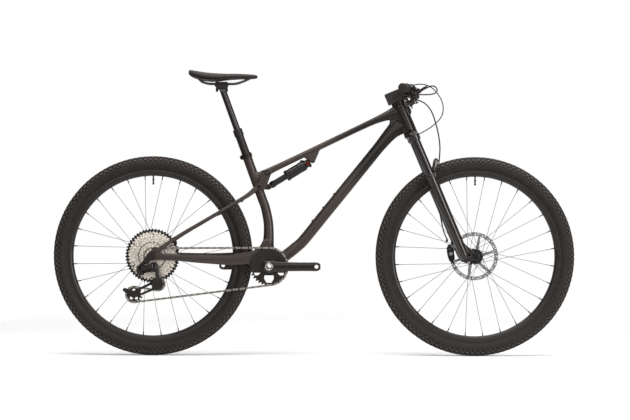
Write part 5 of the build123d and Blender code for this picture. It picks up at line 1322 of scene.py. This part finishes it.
HEAD_3D_UP = Vector((HEAD_UP[0], 0.0, HEAD_UP[1]))
HEAD_3D_AHEAD = Vector((HEAD_AHEAD[0], 0.0, HEAD_AHEAD[1]))
LEG_Y, LEG_AHEAD = 65.0, 3.0
LEG_SIDES = 48
ARCH_LEAN = 30.0
LEG_PROFILE = [(0, 12), (13, 12), (16.5, 15), (17.6, 22), (17.9, 60), (18.2, 220), (18.6, 318),
               (18.8, 327), (19.6, 330), (19.6, 342), (18.4, 345), (0, 345)]
COLLAR_PROFILE = [(0, 481), (19.6, 481), (20.8, 483), (21, 502), (19.5, 506.2), (16, 507), (0, 507)]
ARCH_ROWS = (  # y, height up the legs, width of the band
    (-65, 292, 30), (-65, 322, 33), (-61, 350, 28), (-49, 371, 24), (-28, 387, 20), (0, 390, 18),
    (28, 387, 20), (49, 371, 24), (61, 350, 28), (65, 322, 33), (65, 292, 30),
)


def on_leg(name, profile, side):
    """Turned shape about one leg of the fork, its heights measured up from the axle."""
    foot, above = (Vector(head_point(height, LEG_AHEAD, side * LEG_Y)) for height in (0, 1))
    return turned_solid(name, profile, foot * MM, above - foot, LEG_SIDES)


def add_lowers():
    x, z = FRONT_AXLE[0] / MM, FRONT_AXLE[1] / MM
    lean = radians(ARCH_LEAN)
    normal = HEAD_3D_AHEAD * cos(lean) - HEAD_3D_UP * sin(lean)
    rows = []
    for y, height, width in ARCH_ROWS:
        ahead = LEG_AHEAD - 9 + (height - 310) * sin(lean) / cos(lean) + 7.5 * cos(lean)
        rows.append((*head_point(height - 7.5 * sin(lean), ahead, y), 14.5, width, 3.0))
    meshes = [sweep("arch", rows, normal, 90)]
    for side in (-1, 1):
        meshes.append(on_leg("leg", LEG_PROFILE, side))
        toe, heel = head_point(30, LEG_AHEAD), head_point(4, LEG_AHEAD)
        high = head_point(84, LEG_AHEAD)
        for part in ([(x, z, 12.5)], [(x, z, 8), (high[0], high[2], 7)], [(x, z, 8), (heel[0], heel[2], 8)],
                     [(toe[0], toe[2], 14), (heel[0], heel[2], 12)]):
            meshes.append(hull_plate("foot", part, *flank(side, 56, 72), 32))
    meshes.append(pole("guide", head_point(378, 48, 39), head_point(383, 59, 39), 4))
    skin = melt("fork_lower_skin", meshes, 1.6, 5)
    cut(skin, drum("axle_bore", (x, z), -100, 100, 8.0))
    settle(skin, "fork_black", "fork_lowers", "black_metal", "fork_lowers", smooth=False)
    print("lowers", len(skin.data.polygons), "faces")


def add_crown():
    bridge = ((-65, 497, 39, 17), (-40, 502, 38, 14), (0, 506.5, 38, 13.5), (40, 502, 38, 14),
              (65, 497, 39, 17))
    rows = [(*head_point(t, LEG_AHEAD, y), depth, height, 3.0) for y, t, depth, height in bridge]
    meshes = [sweep("bridge", rows, HEAD_3D_AHEAD, 60),
              pole("race", head_point(502), head_point(516), 27, 26.2, 48),
              pole("steerer", head_point(510), head_point(640), 17.5)]
    for side in (-1, 1):
        meshes.append(on_leg("collar", COLLAR_PROFILE, side))
    skin = melt("fork_crown_skin", meshes, 1.4, 4)
    settle(skin, "fork_black", "steering", "black_metal", "fork_crown", smooth=False)


add_lowers()
add_crown()

# %% [markdown]
# ## Grips
# Rubber grips have rings that the fingers find, a collar that clamps them on the bar and a plug at the
# end.  The profile of one grip is spun about the bar's own axis.

# %% Grips
BAR_HALF, BEND_Y, SWEEP, RISE = 375.0, 95.0, 43.7, 4.5
BAR_UP, BAR_AHEAD = 664.5, 57.5
GRIP_RINGS, GRIP_RING_START, GRIP_RING_STEP = 24, 12, 4.8


def bar_point(y, drop=0.0, ahead=0.0):
    share = max(abs(y) - BEND_Y, 0) / (BAR_HALF - BEND_Y)
    return head_point(BAR_UP + RISE * share - drop, BAR_AHEAD - SWEEP * share + ahead, y)


def add_grips():
    profile = [(0, 0), (15.6, 0), (16.7, 1.0), (16.7, 7.2), (15.6, 8.2), (13.4, 8.6), (13.4, 11.0)]
    for ring in range(GRIP_RINGS):
        start = GRIP_RING_START + ring * GRIP_RING_STEP
        profile += [(13.6, start), (14.7, start + 0.6), (14.7, start + 3.2), (13.6, start + 3.8)]
    profile += [(14.2, 128), (15.0, 129.5), (15.0, 135.5), (14.2, 137), (11.5, 137.4), (0, 137.5)]
    meshes = []
    for side in (-1, 1):
        inner, outer = Vector(bar_point(side * 240)), Vector(bar_point(side * 377))
        meshes.append(turned_solid("grip", profile, inner * MM, outer - inner, 40))
    grips = add_object("ribbed_grips", join_meshes("ribbed_grips", meshes))
    settle(grips, "rubber", "steering", "rubber", "grips", smooth=False)


add_grips()
print("grips", 2)

# %% [markdown]
# ## Saddle
# A foam pad under a thin cover sits on a moulded shell.  The cover is lofted from stations along the
# saddle: wide and raised at the back, narrow and slightly dropped at the nose.

# %% Saddle
SADDLE_ROWS = (  # x, half width, underside, top, square
    (-466, 30, 1046, 1055.5, 2.2), (-461, 47, 1041, 1058.5, 2.4), (-448, 64, 1035, 1056.5, 2.7),
    (-431, 70, 1030, 1053.5, 2.8), (-412, 72, 1025.5, 1050.5, 2.8), (-388, 70, 1022.5, 1047.8, 2.8),
    (-370, 66, 1022.5, 1046.5, 2.7), (-347, 55, 1024, 1045.5, 2.6), (-325, 42, 1025.5, 1045, 2.6),
    (-280, 27, 1028, 1045, 2.5), (-240, 19.5, 1029, 1043, 2.4), (-220, 15, 1030.5, 1041, 2.3),
    (-212, 9, 1033, 1038.5, 2.1),
)


SADDLE_SAG = 0.05  # share of the half width


def saddle_part(name, table, steps=90, count=64):
    """Loft of the saddle whose sections droop towards their edges."""
    rings = []
    for step in range(steps + 1):
        x, half, low, high, square = between(table, step / steps)
        rings.append([Vector((x, a, (low + high) / 2 + b - SADDLE_SAG * half * (abs(a) / half) ** 2.2)) * MM
                      for a, b in rounded_section(2 * half, high - low, square, count)])
    return ring_skin(name, rings, 60)


def add_saddle():
    cover = add_object("saddle_cover_pad", saddle_part("saddle_cover_pad", SADDLE_ROWS))
    settle(cover, "saddle_cover", "dropper", "saddle_cover", smooth=False)
    shell_rows = [(x, half * 0.93, low - 4.0, low + 6.0, 2.6) for x, half, low, high, square in SADDLE_ROWS]
    shell = add_object("saddle_shell", saddle_part("saddle_shell", shell_rows))
    settle(shell, "plastic", "dropper", "saddle_cover", "saddle", smooth=False)


finishes["saddle_cover"] = grained("saddle_cover", (0.0150, 0.0125, 0.0128), (0.0240, 0.0200, 0.0204),
                                   (0.46, 0.60), 0.0, 620.0, 0.12, 0.0003, sheen=0.05)
add_saddle()
print("saddle stations", len(SADDLE_ROWS))

# %% [markdown]
# ## Chainring, sprockets and cranks
# A sprocket is a disc with a ring of teeth.  The teeth are one tapered block on the ring tree, and the
# chainring's disc is cut with the windows that save weight.  Twelve sprockets of growing size make the
# cassette.

# %% Sprockets
DISC_EDGE, TOOTH_ROOT, TOOTH_WIDTH = 3.6, 4.4, 9.4  # below the pitch circle, and along it


def tooth_mesh(root, tip, y, width, thickness):
    """Tapered tooth from radius root to tip, pointing along +X."""
    table = ((root, width / 2, thickness / 2), ((root + tip) / 2, width * 0.36, thickness / 2),
             (tip, width * 0.14, thickness * 0.22))
    rings = [[(radius * MM, (y + b * thick) * MM, a * half * MM) for a, b in SQUARE]
             for radius, half, thick in table]
    return ring_skin("tooth", rings, 25)


def disc_profile(bore, radius, y, thickness):
    edge = min(0.5, thickness * 0.3)
    low, high = y - thickness / 2, y + thickness / 2
    return [(bore * MM, low * MM), ((radius - edge) * MM, low * MM), (radius * MM, (low + edge) * MM),
            (radius * MM, (high - edge) * MM), ((radius - edge) * MM, high * MM), (bore * MM, high * MM)]


def toothed_ring(centre, teeth, y, thickness, bore, first=0.0, reach=3.4, trim=0.0):
    """Sprocket with its teeth, on an axle at centre (x, z) in metres."""
    pitch = pitch_radius(teeth) - trim
    disc = spun("disc", disc_profile(bore, pitch - DISC_EDGE, y, thickness), centre, 4 * teeth)
    tooth = tooth_mesh(pitch - TOOTH_ROOT, pitch + reach, y, TOOTH_WIDTH, thickness * 0.9)
    return [disc, ring_copies("teeth", tooth, teeth, centre, first=first)]


def wheel_point(centre, x, z):
    return centre[0] / MM + x, centre[1] / MM + z


def spoke_spot(lean, reach):
    """Point on the face of the chainring at an angle and a distance from the axle."""
    x, z = wheel_point(CRANK_AXLE, reach * cos(lean), reach * sin(lean))
    return x, RING_Y - 2.6, z


SPIDER_ARMS = 4
SPIDER_ROWS = (  # reach, depth, width
    (16, 3.4, 24), (30, 3.2, 15), (44, 3.0, 11), (54, 2.8, 12), (57, 2.4, 9),
)


def add_chainring():
    disc, teeth = toothed_ring(CRANK_AXLE, RING_TEETH, RING_Y, 3.2, 19.0, pi / RING_TEETH)
    ring = add_object("toothed_chainring", disc)
    slots = [[(a * sign, z) for a, z in ((30, -25.5), (53, -25.5), (50, -31), (30, -31))] for sign in (-1, 1)]
    foot = [(-15, -35), (15, -35), (15.5, -45), (8, -58), (-8, -58), (-15.5, -45)]
    for window in slots + [foot]:
        circles = [(*wheel_point(CRANK_AXLE, a, z), 2.0) for a, z in window]
        cut(ring, hull_plate("window", circles, RING_Y - 5, RING_Y + 5))
    spider = []
    for k in range(SPIDER_ARMS):
        lean = tau * k / SPIDER_ARMS + pi / SPIDER_ARMS
        rows = [(*spoke_spot(lean, reach), depth, width, 2.8) for reach, depth, width in SPIDER_ROWS]
        spider.append(sweep("arm", rows, (0, 1, 0), 30, 20))
        x, y, z = spoke_spot(lean, 52)
        profile = [(0, 0), (4.6, 0), (4.6, 1.6), (4.0, 2.2), (2.2, 2.2), (2.0, 1.0), (0, 1.0)]
        spider.append(turned_solid("bolt", profile, (x * MM, (y - 1.2) * MM, z * MM), (0, -1, 0), 20))
    absorb(ring, [teeth] + spider)
    ring.data.set_sharp_from_angle(angle=radians(40))
    settle(ring, "chainring", "crankset", "black_metal", "chainring", smooth=False)


COGS = (10, 12, 14, 16, 18, 21, 24, 28, 32, 38, 44, 51)
COG_FIRST_Y, COG_STEP = -68.5, 3.65
CARRIER_ARMS = 6


def cassette_steel(name, dark, light):
    """Champagne plated steel with the fine rings of its grinding and stamped ramps round the edge."""
    material = turned(name, REAR_AXLE, dark, light, (0.26, 0.44), 0.85)
    tree = material.node_tree
    shader = tree.nodes["Principled BSDF"]
    steel = shader.inputs["Base Color"].links[0].from_socket
    stamps = add_node(tree, "ShaderNodeTexVoronoi", {"Scale": 170.0, "Vector": object_place(tree)})
    shade = ramp(tree, stamps.outputs["Distance"], 0.26, 0.60, 0, 0.62)
    deep = [value * 0.18 for value in dark]
    feed(tree, shader, {"Base Color": two_tone(tree, shade, steel, deep)})
    return material


def add_cassette():
    steel, black = [], []
    for k, teeth in enumerate(COGS):
        y = COG_FIRST_Y + COG_STEP * k
        bore = 14.0 if teeth < 16 else (pitch_radius(COGS[k - 1]) - 11 if teeth > 21 else 18.0)
        group = black if teeth == COGS[-1] else steel
        group += toothed_ring(REAR_AXLE, teeth, y, 1.9, max(bore, 14.0), k * 0.21, 1.6,
                              3.4 if group is black else 0.0)
    steel.append(spun("core", disc_profile(13.5, 19.5, -58.0, 22.0), REAR_AXLE, 64))
    carrier = [spun("carrier", disc_profile(49.5, 51.6, -45.6, 5.5), REAR_AXLE, 128)]
    for k in range(CARRIER_ARMS):
        lean = tau * k / CARRIER_ARMS
        near = (AXLE[0] + 17 * cos(lean), -36, AXLE[1] + 17 * sin(lean))
        far = (AXLE[0] + 84 * cos(lean + 0.5), -31, AXLE[1] + 84 * sin(lean + 0.5))
        carrier.append(pole("arm", near, far, 4.5, 3.0, 12))
    carrier.append(spun("freehub", disc_profile(9.5, 17.5, -38.0, 20.0), REAR_AXLE, 48))
    champagne = cassette_steel("cassette_champagne", (0.80, 0.73, 0.635), (0.98, 0.905, 0.805))
    faces = settle_meshes("cassette_sprockets", steel, 35, champagne, "cassette", "chain_steel", "cassette")
    faces += settle_meshes("cassette_carrier", black + carrier, 35, "chainring", "cassette", "black_metal")
    print("cassette", faces, "faces")


add_chainring()
add_cassette()

# %% [markdown]
# Each crank arm is a hollow forging: wide at the axle, narrow at the pedal and rounded on its outer
# face, where the lamps draw one long highlight.

# %% Cranks
CRANK_REACH, CRANK_FACE = 175.0, 88.0
finishes["crank_gloss"] = grained("crank_gloss", (0.0062, 0.0048, 0.0043), (0.0105, 0.0082, 0.0074),
                                  (0.20, 0.28), 0.0, 60.0, 0.02, 0.0003, coat=0.14, specular=0.3)
CRANK_ROWS = (  # share of the reach, half width, thickness
    (-0.12, 13, 10), (-0.10, 17, 13), (-0.05, 20.5, 15), (0.0, 21.5, 16), (0.08, 20.5, 16),
    (0.3, 17.6, 15.6), (0.6, 16.4, 14.6), (0.85, 16.2, 13.6), (0.97, 16.6, 13), (1.04, 14.6, 12),
    (1.085, 9, 9),
)


def add_crank(name, node, side):
    x, z = CRANK_AXLE[0] / MM, CRANK_AXLE[1] / MM
    ahead = -side
    rows = [(x + ahead * share * CRANK_REACH, side * (CRANK_FACE - 8), z, thick, 2 * half, 3.0)
            for share, half, thick in CRANK_ROWS]
    meshes = [sweep("arm", rows, (0, 1, 0), 90, 32)]
    meshes.append(drum("boss", (x, z), *flank(side, 49.8, 74), 22))
    meshes.append(drum("lip", (x, z), *flank(side, 80, 89.5), 15))
    arm = melt(name, meshes, 1.3, 6)
    cut(arm, drum("bore", (x, z), -200, 200, 12.4))
    cut(arm, drum("thread", (x + ahead * CRANK_REACH, z), *flank(side, 60, 120), 7.15))
    if side < 0:
        spindle = spun("spindle", [(0.0119, -0.089), (0.01235, -0.089), (0.01235, 0.070), (0.0119, 0.070)],
                       CRANK_AXLE, 48)
        absorb(arm, [spindle])
    arm.data.set_sharp_from_angle(angle=radians(50))
    settle(arm, "crank_gloss", "crankset", "black_anodised", node, smooth=False)


add_crank("drive_crank_arm", "right_crank", -1)
add_crank("far_crank_arm", "left_crank", 1)
rims = [spun("cap", disc_profile(9.2, 14.6, y, 1.4), CRANK_AXLE, 48) for y in (-89.7, 89.7)]
crank_rings = add_object("crank_rings", join_meshes("crank_rings", rims))
settle(crank_rings, "steel", "crankset", "steel")
print("cranks", 2)

# %% [markdown]
# ## Rocker and shock
# The rocker is painted like the frame and carries the seatstays to the shock.  Its pins end in dark
# bolt heads.  The shock is a stack of turned shapes: shaft, seal head, air can, valve body and dial.

# %% Rocker
SHOCK_REAR = (-169.1, 625.6)


def add_rocker():
    meshes, bolts = [], []
    knee = ((STAY_PIVOT[0] + SHOCK_REAR[0]) / 2 - 2, (STAY_PIVOT[1] + SHOCK_REAR[1]) / 2 + 1)
    arms = ([(*ROCKER_PIVOT, 13.5), (*STAY_PIVOT, 10.5), (*knee, 10.5)],
            [(*STAY_PIVOT, 11), (*SHOCK_REAR, 10.5)])
    for side in (-1, 1):
        for arm in arms:
            meshes.append(hull_plate("plate", arm, *flank(side, 19.6, 25.4), 40))
        meshes.append(drum("boss", SHOCK_REAR, *flank(side, 12.5, 20), 8.5))
        for spot, radius, y in ((ROCKER_PIVOT, 9.5, 26), (STAY_PIVOT, 7.5, 34.6), (SHOCK_REAR, 7.5, 26)):
            bolts.append(drum("head", spot, *flank(side, 12.6, y + 0.8), radius * 0.55, 24))
            profile = [(0, 0), (radius, 0), (radius, 1.4), (radius - 0.8, 2.2), (radius * 0.5, 2.2),
                       (radius * 0.42, 0.9), (0, 0.9)]
            base = (spot[0] * MM, side * (y - 0.6) * MM, spot[1] * MM)
            bolts.append(turned_solid("head", profile, base, (0, side, 0), 28))
    rocker = melt("rocker_skin", meshes, 0.9, 4)
    middle_x = (ROCKER_PIVOT[0] + STAY_PIVOT[0] + knee[0]) / 3
    middle_z = (ROCKER_PIVOT[1] + STAY_PIVOT[1] + knee[1]) / 3
    pocket = [(middle_x + (a - middle_x) * 0.40, middle_z + (b - middle_z) * 0.40, 2.8)
              for a, b, r in arms[0]]
    for side in (-1, 1):
        cut(rocker, hull_plate("pocket", pocket, *flank(side, 23.4, 30), 24))
    settle(rocker, "paint", "rocker", "black_metal", "rocker", smooth=False)
    rocker.data.set_sharp_from_angle(angle=radians(45))
    pins = add_object("rocker_pins", join_meshes("rocker_pins", bolts))
    settle(pins, "anodised", "rocker", "steel", smooth=False)


add_rocker()

# %% Shock
SHOCK_SPAN = hypot(SHOCK_EYE[0] - SHOCK_REAR[0], SHOCK_EYE[1] - SHOCK_REAR[1])
SHOCK_WAY = Vector(((SHOCK_REAR[0] - SHOCK_EYE[0]) / SHOCK_SPAN, 0,
                    (SHOCK_REAR[1] - SHOCK_EYE[1]) / SHOCK_SPAN))
finishes["shock_can"] = grained("shock_can", (0.006, 0.006, 0.0062), (0.011, 0.011, 0.0115), (0.22, 0.30),
                                0.4, 300.0, 0.03, 0.0001, coat=0.25)
finishes["dial_red"] = grained("dial_red", (0.060, 0.0065, 0.0055), (0.105, 0.010, 0.008), (0.26, 0.36),
                               0.85, 500.0, 0.05, 0.0001)


def on_shock(distance, y=0.0, off=0.0):
    """Point along the shock from its front eye, moved sideways and off its axis."""
    side = Vector((-SHOCK_WAY.z, 0, SHOCK_WAY.x))
    return Vector((SHOCK_EYE[0], y, SHOCK_EYE[1])) + SHOCK_WAY * distance + side * off


def add_shock():
    can = [(0, 11), (12, 11), (14.5, 13.5), (14.5, 29), (16.5, 33), (19.0, 35), (19.5, 36.5), (19.5, 58),
           (18.3, 58.6), (18.3, 61.4), (19.5, 62), (19.5, 98), (18.6, 99), (18.6, 101), (20.6, 101.6),
           (20.8, 113), (19.6, 115.4), (12.2, 116), (0, 116)]
    shaft = [(0, 95), (11.4, 95), (11.4, 164), (13.2, 166), (13.2, 176), (11.0, 181), (8.0, 185), (0, 186)]
    front = [turned_solid("can", can, on_shock(0) * MM, SHOCK_WAY, 56),
             drum("eye", SHOCK_EYE, -12.1, 12.1, 10.5)]
    front.append(pole("valve", on_shock(22, 0), on_shock(22, -19), 8.5, 7.5))
    front.append(pole("cable_stop", on_shock(24, -8, -10), on_shock(40, -8, -22), 3.2, 2.8, 16))
    settle_meshes("shock_can_skin", front, 35, "shock_can", "shock_body", "black_metal", "shock_body")
    rear = [turned_solid("shaft", shaft, on_shock(0) * MM, SHOCK_WAY, 44),
            drum("eye", SHOCK_REAR, -12.1, 12.1, 10.5)]
    settle_meshes("shock_shaft_skin", rear, 35, "shock_can", "shock_shaft", "black_metal", "shock_shaft")
    ring = [(0, 0), (6.0, 0), (6.6, 0.8), (6.6, 3.4), (5.8, 4.0), (0, 4.0)]
    dials = [turned_solid("dial", ring, on_shock(22, -19) * MM, (0, -1, 0), 28),
             turned_solid("cap", [(0, 0), (4.6, 0), (5, 0.6), (5, 5), (4.2, 6), (0, 6)],
                          on_shock(17, 0, 12) * MM, (-SHOCK_WAY.z, 0, SHOCK_WAY.x), 24)]
    settle_meshes("shock_dial", dials, 35, "dial_red", "shock_body", "black_anodised")


add_shock()
print("shock span", round(SHOCK_SPAN, 1), "mm")

# %% [markdown]
# ## Small castings
# The front caliper, the saddle clamp and the derailleur's two pulleys are seen close to bright parts,
# so their outlines matter.  The caliper and the clamp are built from hulls and turned shapes and
# melted just enough to round them.  The front brake hose comes with its caliper.  The head turns and the fork
# leg slides, so the hose is one mesh that is put on neither body.

# %% Brake caliper and saddle clamp
CALIPER_LEAN = 101.0
CALIPER_BOLTS = (-27, 31)  # along the leg, from the middle of the caliper


def add_front_caliper():
    x, z = FRONT_AXLE[0] / MM, FRONT_AXLE[1] / MM

    def at(along, across):
        return slanted((x - 82.5, z + 8), CALIPER_LEAN, along, across)

    meshes = []
    for low, high in ((29.6, 37.2), (42.2, 54.0)):
        half = [(*at(-26, 3), 8), (*at(-8, 4), 12.5), (*at(12, 4), 12.5), (*at(30, 2), 8)]
        meshes.append(hull_plate("half", half, low, high, 28))
    meshes.append(hull_plate("bridge", [(*at(-20, 9), 6), (*at(24, 9), 6)], 30, 53, 24))
    meshes.append(hull_plate("mount", [(x - 80, z + 52, 6), (x - 80, z + 8, 6)], 42, 48, 24))
    for along in CALIPER_BOLTS:
        meshes.append(drum("lug", at(along, -3.5), 44, 56, 5.0, 28))
    block = melt("front_caliper_casting", meshes, 0.9, 5)
    extras = [drum("piston", at(2, 4), 53.8, 56.2, 9.5, 36)]
    screws = []
    for along in CALIPER_BOLTS:
        screws.append(drum("bolt", at(along, -3.5), 56, 60, 4.2, 6))
        screws.append(drum("washer", at(along, -3.5), 29.0, 44.2, 4.6, 24))
    screws.append(drum("pad_pin", at(20, 6), 28.2, 55.0, 2.4, 16))
    screws.append(drum("piston_cap", at(2, 4), 28.6, 30.0, 7.0, 36))
    extras.append(pole("banjo", (498, 41, 432), (494, 43, 421), 4.4, 3.6, 20))
    absorb(block, extras)
    block.data.set_sharp_from_angle(angle=radians(45))
    settle(block, "anodised", "fork_lowers", "black_anodised", "front_caliper", smooth=False)
    bolts = add_object("front_caliper_bolts", join_meshes("front_caliper_bolts", screws))
    settle(bolts, "steel", "fork_lowers", "steel")


FRONT_HOSE = [(366, 142, 965), (394, 120, 956), (420, 94, 940), (440, 74, 912), (454, 58, 868),
              (465, 48, 820), (470, 42, 775), (467, 39.5, 735), (464, 40, 700), (456, 42, 670),
              (448, 42.5, 640), (452, 42.5, 600), (462, 42.5, 560), (472, 42.5, 519), (479, 42, 480),
              (487, 41.5, 450), (498, 41, 430)]


def add_front_hose():
    """Brake hose as one mesh from the turning head to the sliding fork leg, on neither body."""
    line = nurbs_line("front_hose_path", FRONT_HOSE, 2.5)
    bpy.context.view_layer.update()
    mesh = bpy.data.meshes.new_from_object(line.evaluated_get(bpy.context.evaluated_depsgraph_get()))
    bpy.data.objects.remove(line)
    hose = add_object("brake_hose_front", mesh)
    settle(hose, "hose", None, "black_plastic", "front_brake_hose")
    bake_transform(hose)


def add_saddle_clamp():
    x, z = -345.0, 1007.0
    meshes = [hull_plate("top", [(x - 19, z + 3, 4), (x + 19, z + 3, 4)], -28, 28, 20),
              hull_plate("under", [(x - 20, z - 6, 5), (x + 20, z - 5, 5), (x - 12, z - 15, 6),
                                   (x + 14, z - 14, 6)], -26, 26, 24)]
    for ahead in (-17, 19):
        meshes.append(drum("nut", (x + ahead, z - 20), -9, 9, 5.0, 20))
    clamp = melt("saddle_clamp_forging", meshes, 1.1, 4)
    bolts = []
    for ahead in (-17, 19):
        bolts.append(pole("bolt", (x + ahead, 0, z - 28), (x + ahead, 0, z + 9), 3.0, None, 16))
        bolts.append(pole("head", (x + ahead, 0, z - 29), (x + ahead, 0, z - 24), 4.6, None, 20))
    absorb(clamp, bolts)
    clamp.data.set_sharp_from_angle(angle=radians(45))
    settle(clamp, "anodised", "dropper", "black_metal", "saddle_clamp", smooth=False)


add_front_caliper()
add_front_hose()
add_saddle_clamp()

# %% Derailleur pulleys
PULLEY_HOLES = 5


def add_pulley(name, body, centre, teeth):
    spot = (centre[0] * MM, centre[1] * MM)
    disc, ring_teeth = toothed_ring(spot, teeth, COG_Y, 2.6, 4.2, 0.1)
    wheel = add_object(name, disc)
    pitch = pitch_radius(teeth)
    for k in range(PULLEY_HOLES):
        lean = tau * k / PULLEY_HOLES + 0.3
        hole = (centre[0] + pitch * 0.55 * cos(lean), centre[1] + pitch * 0.55 * sin(lean))
        cut(wheel, drum("hole", hole, COG_Y - 4, COG_Y + 4, pitch * 0.20, 24))
    hub = spun("hub", disc_profile(4.2, 7.0, COG_Y, 5.6), spot, 32)
    absorb(wheel, [ring_teeth, hub])
    wheel.data.set_sharp_from_angle(angle=radians(40))
    settle(wheel, "plastic", body, "black_plastic", body, smooth=False)


add_pulley("guide_pulley_wheel", "guide_pulley", GUIDE_PULLEY, GUIDE_TEETH)
add_pulley("tension_pulley_wheel", "tension_pulley", TENSION_PULLEY, TENSION_TEETH)
print("pulleys", 2)

# %% [markdown]
# The derailleur, the rear caliper, the stem and the control clamps are forgings and mouldings whose
# corners are all rounded.  Each one is melted from its own CAD shape, which keeps its place and size
# and takes the hard corners away.

# %% Rounded castings
CASTINGS = {  # finish, body, voxel size
    "derailleur_base": ("satin_black", "rear_triangle", 0.7),
    "derailleur_cage": ("satin_black", "derailleur_cage", 0.7),
    "derailleur_outer_link": ("satin_black", "derailleur_outer_link", 0.6),
    "derailleur_inner_link": ("satin_black", "derailleur_inner_link", 0.6),
    "derailleur_knuckle": ("satin_black", "derailleur_knuckle", 0.7),
    "rear_caliper": ("anodised", "rear_triangle", 0.8), "stem": ("satin_black", "steering", 1.0),
    "seat_clamp": ("anodised", "frame", 0.8), "brake_lever_bodies": ("anodised", "steering", 0.8),
    "shifter_bodies": ("plastic", "steering", 0.8),
}


def round_off(node, finish, body, voxel):
    """Piece with rounded corners melted from the mesh of a CAD node, in place of that node."""
    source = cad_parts[node]
    mesh = source.data.copy()
    mesh.transform(source.matrix_world)
    piece = melt(node + "_rounded", [mesh], voxel, 6)
    settle(piece, finish, body, "black_anodised", node, smooth=False)
    return len(piece.data.polygons)


for node, (finish, body, voxel) in CASTINGS.items():
    print(node, round_off(node, finish, body, voxel), "faces")
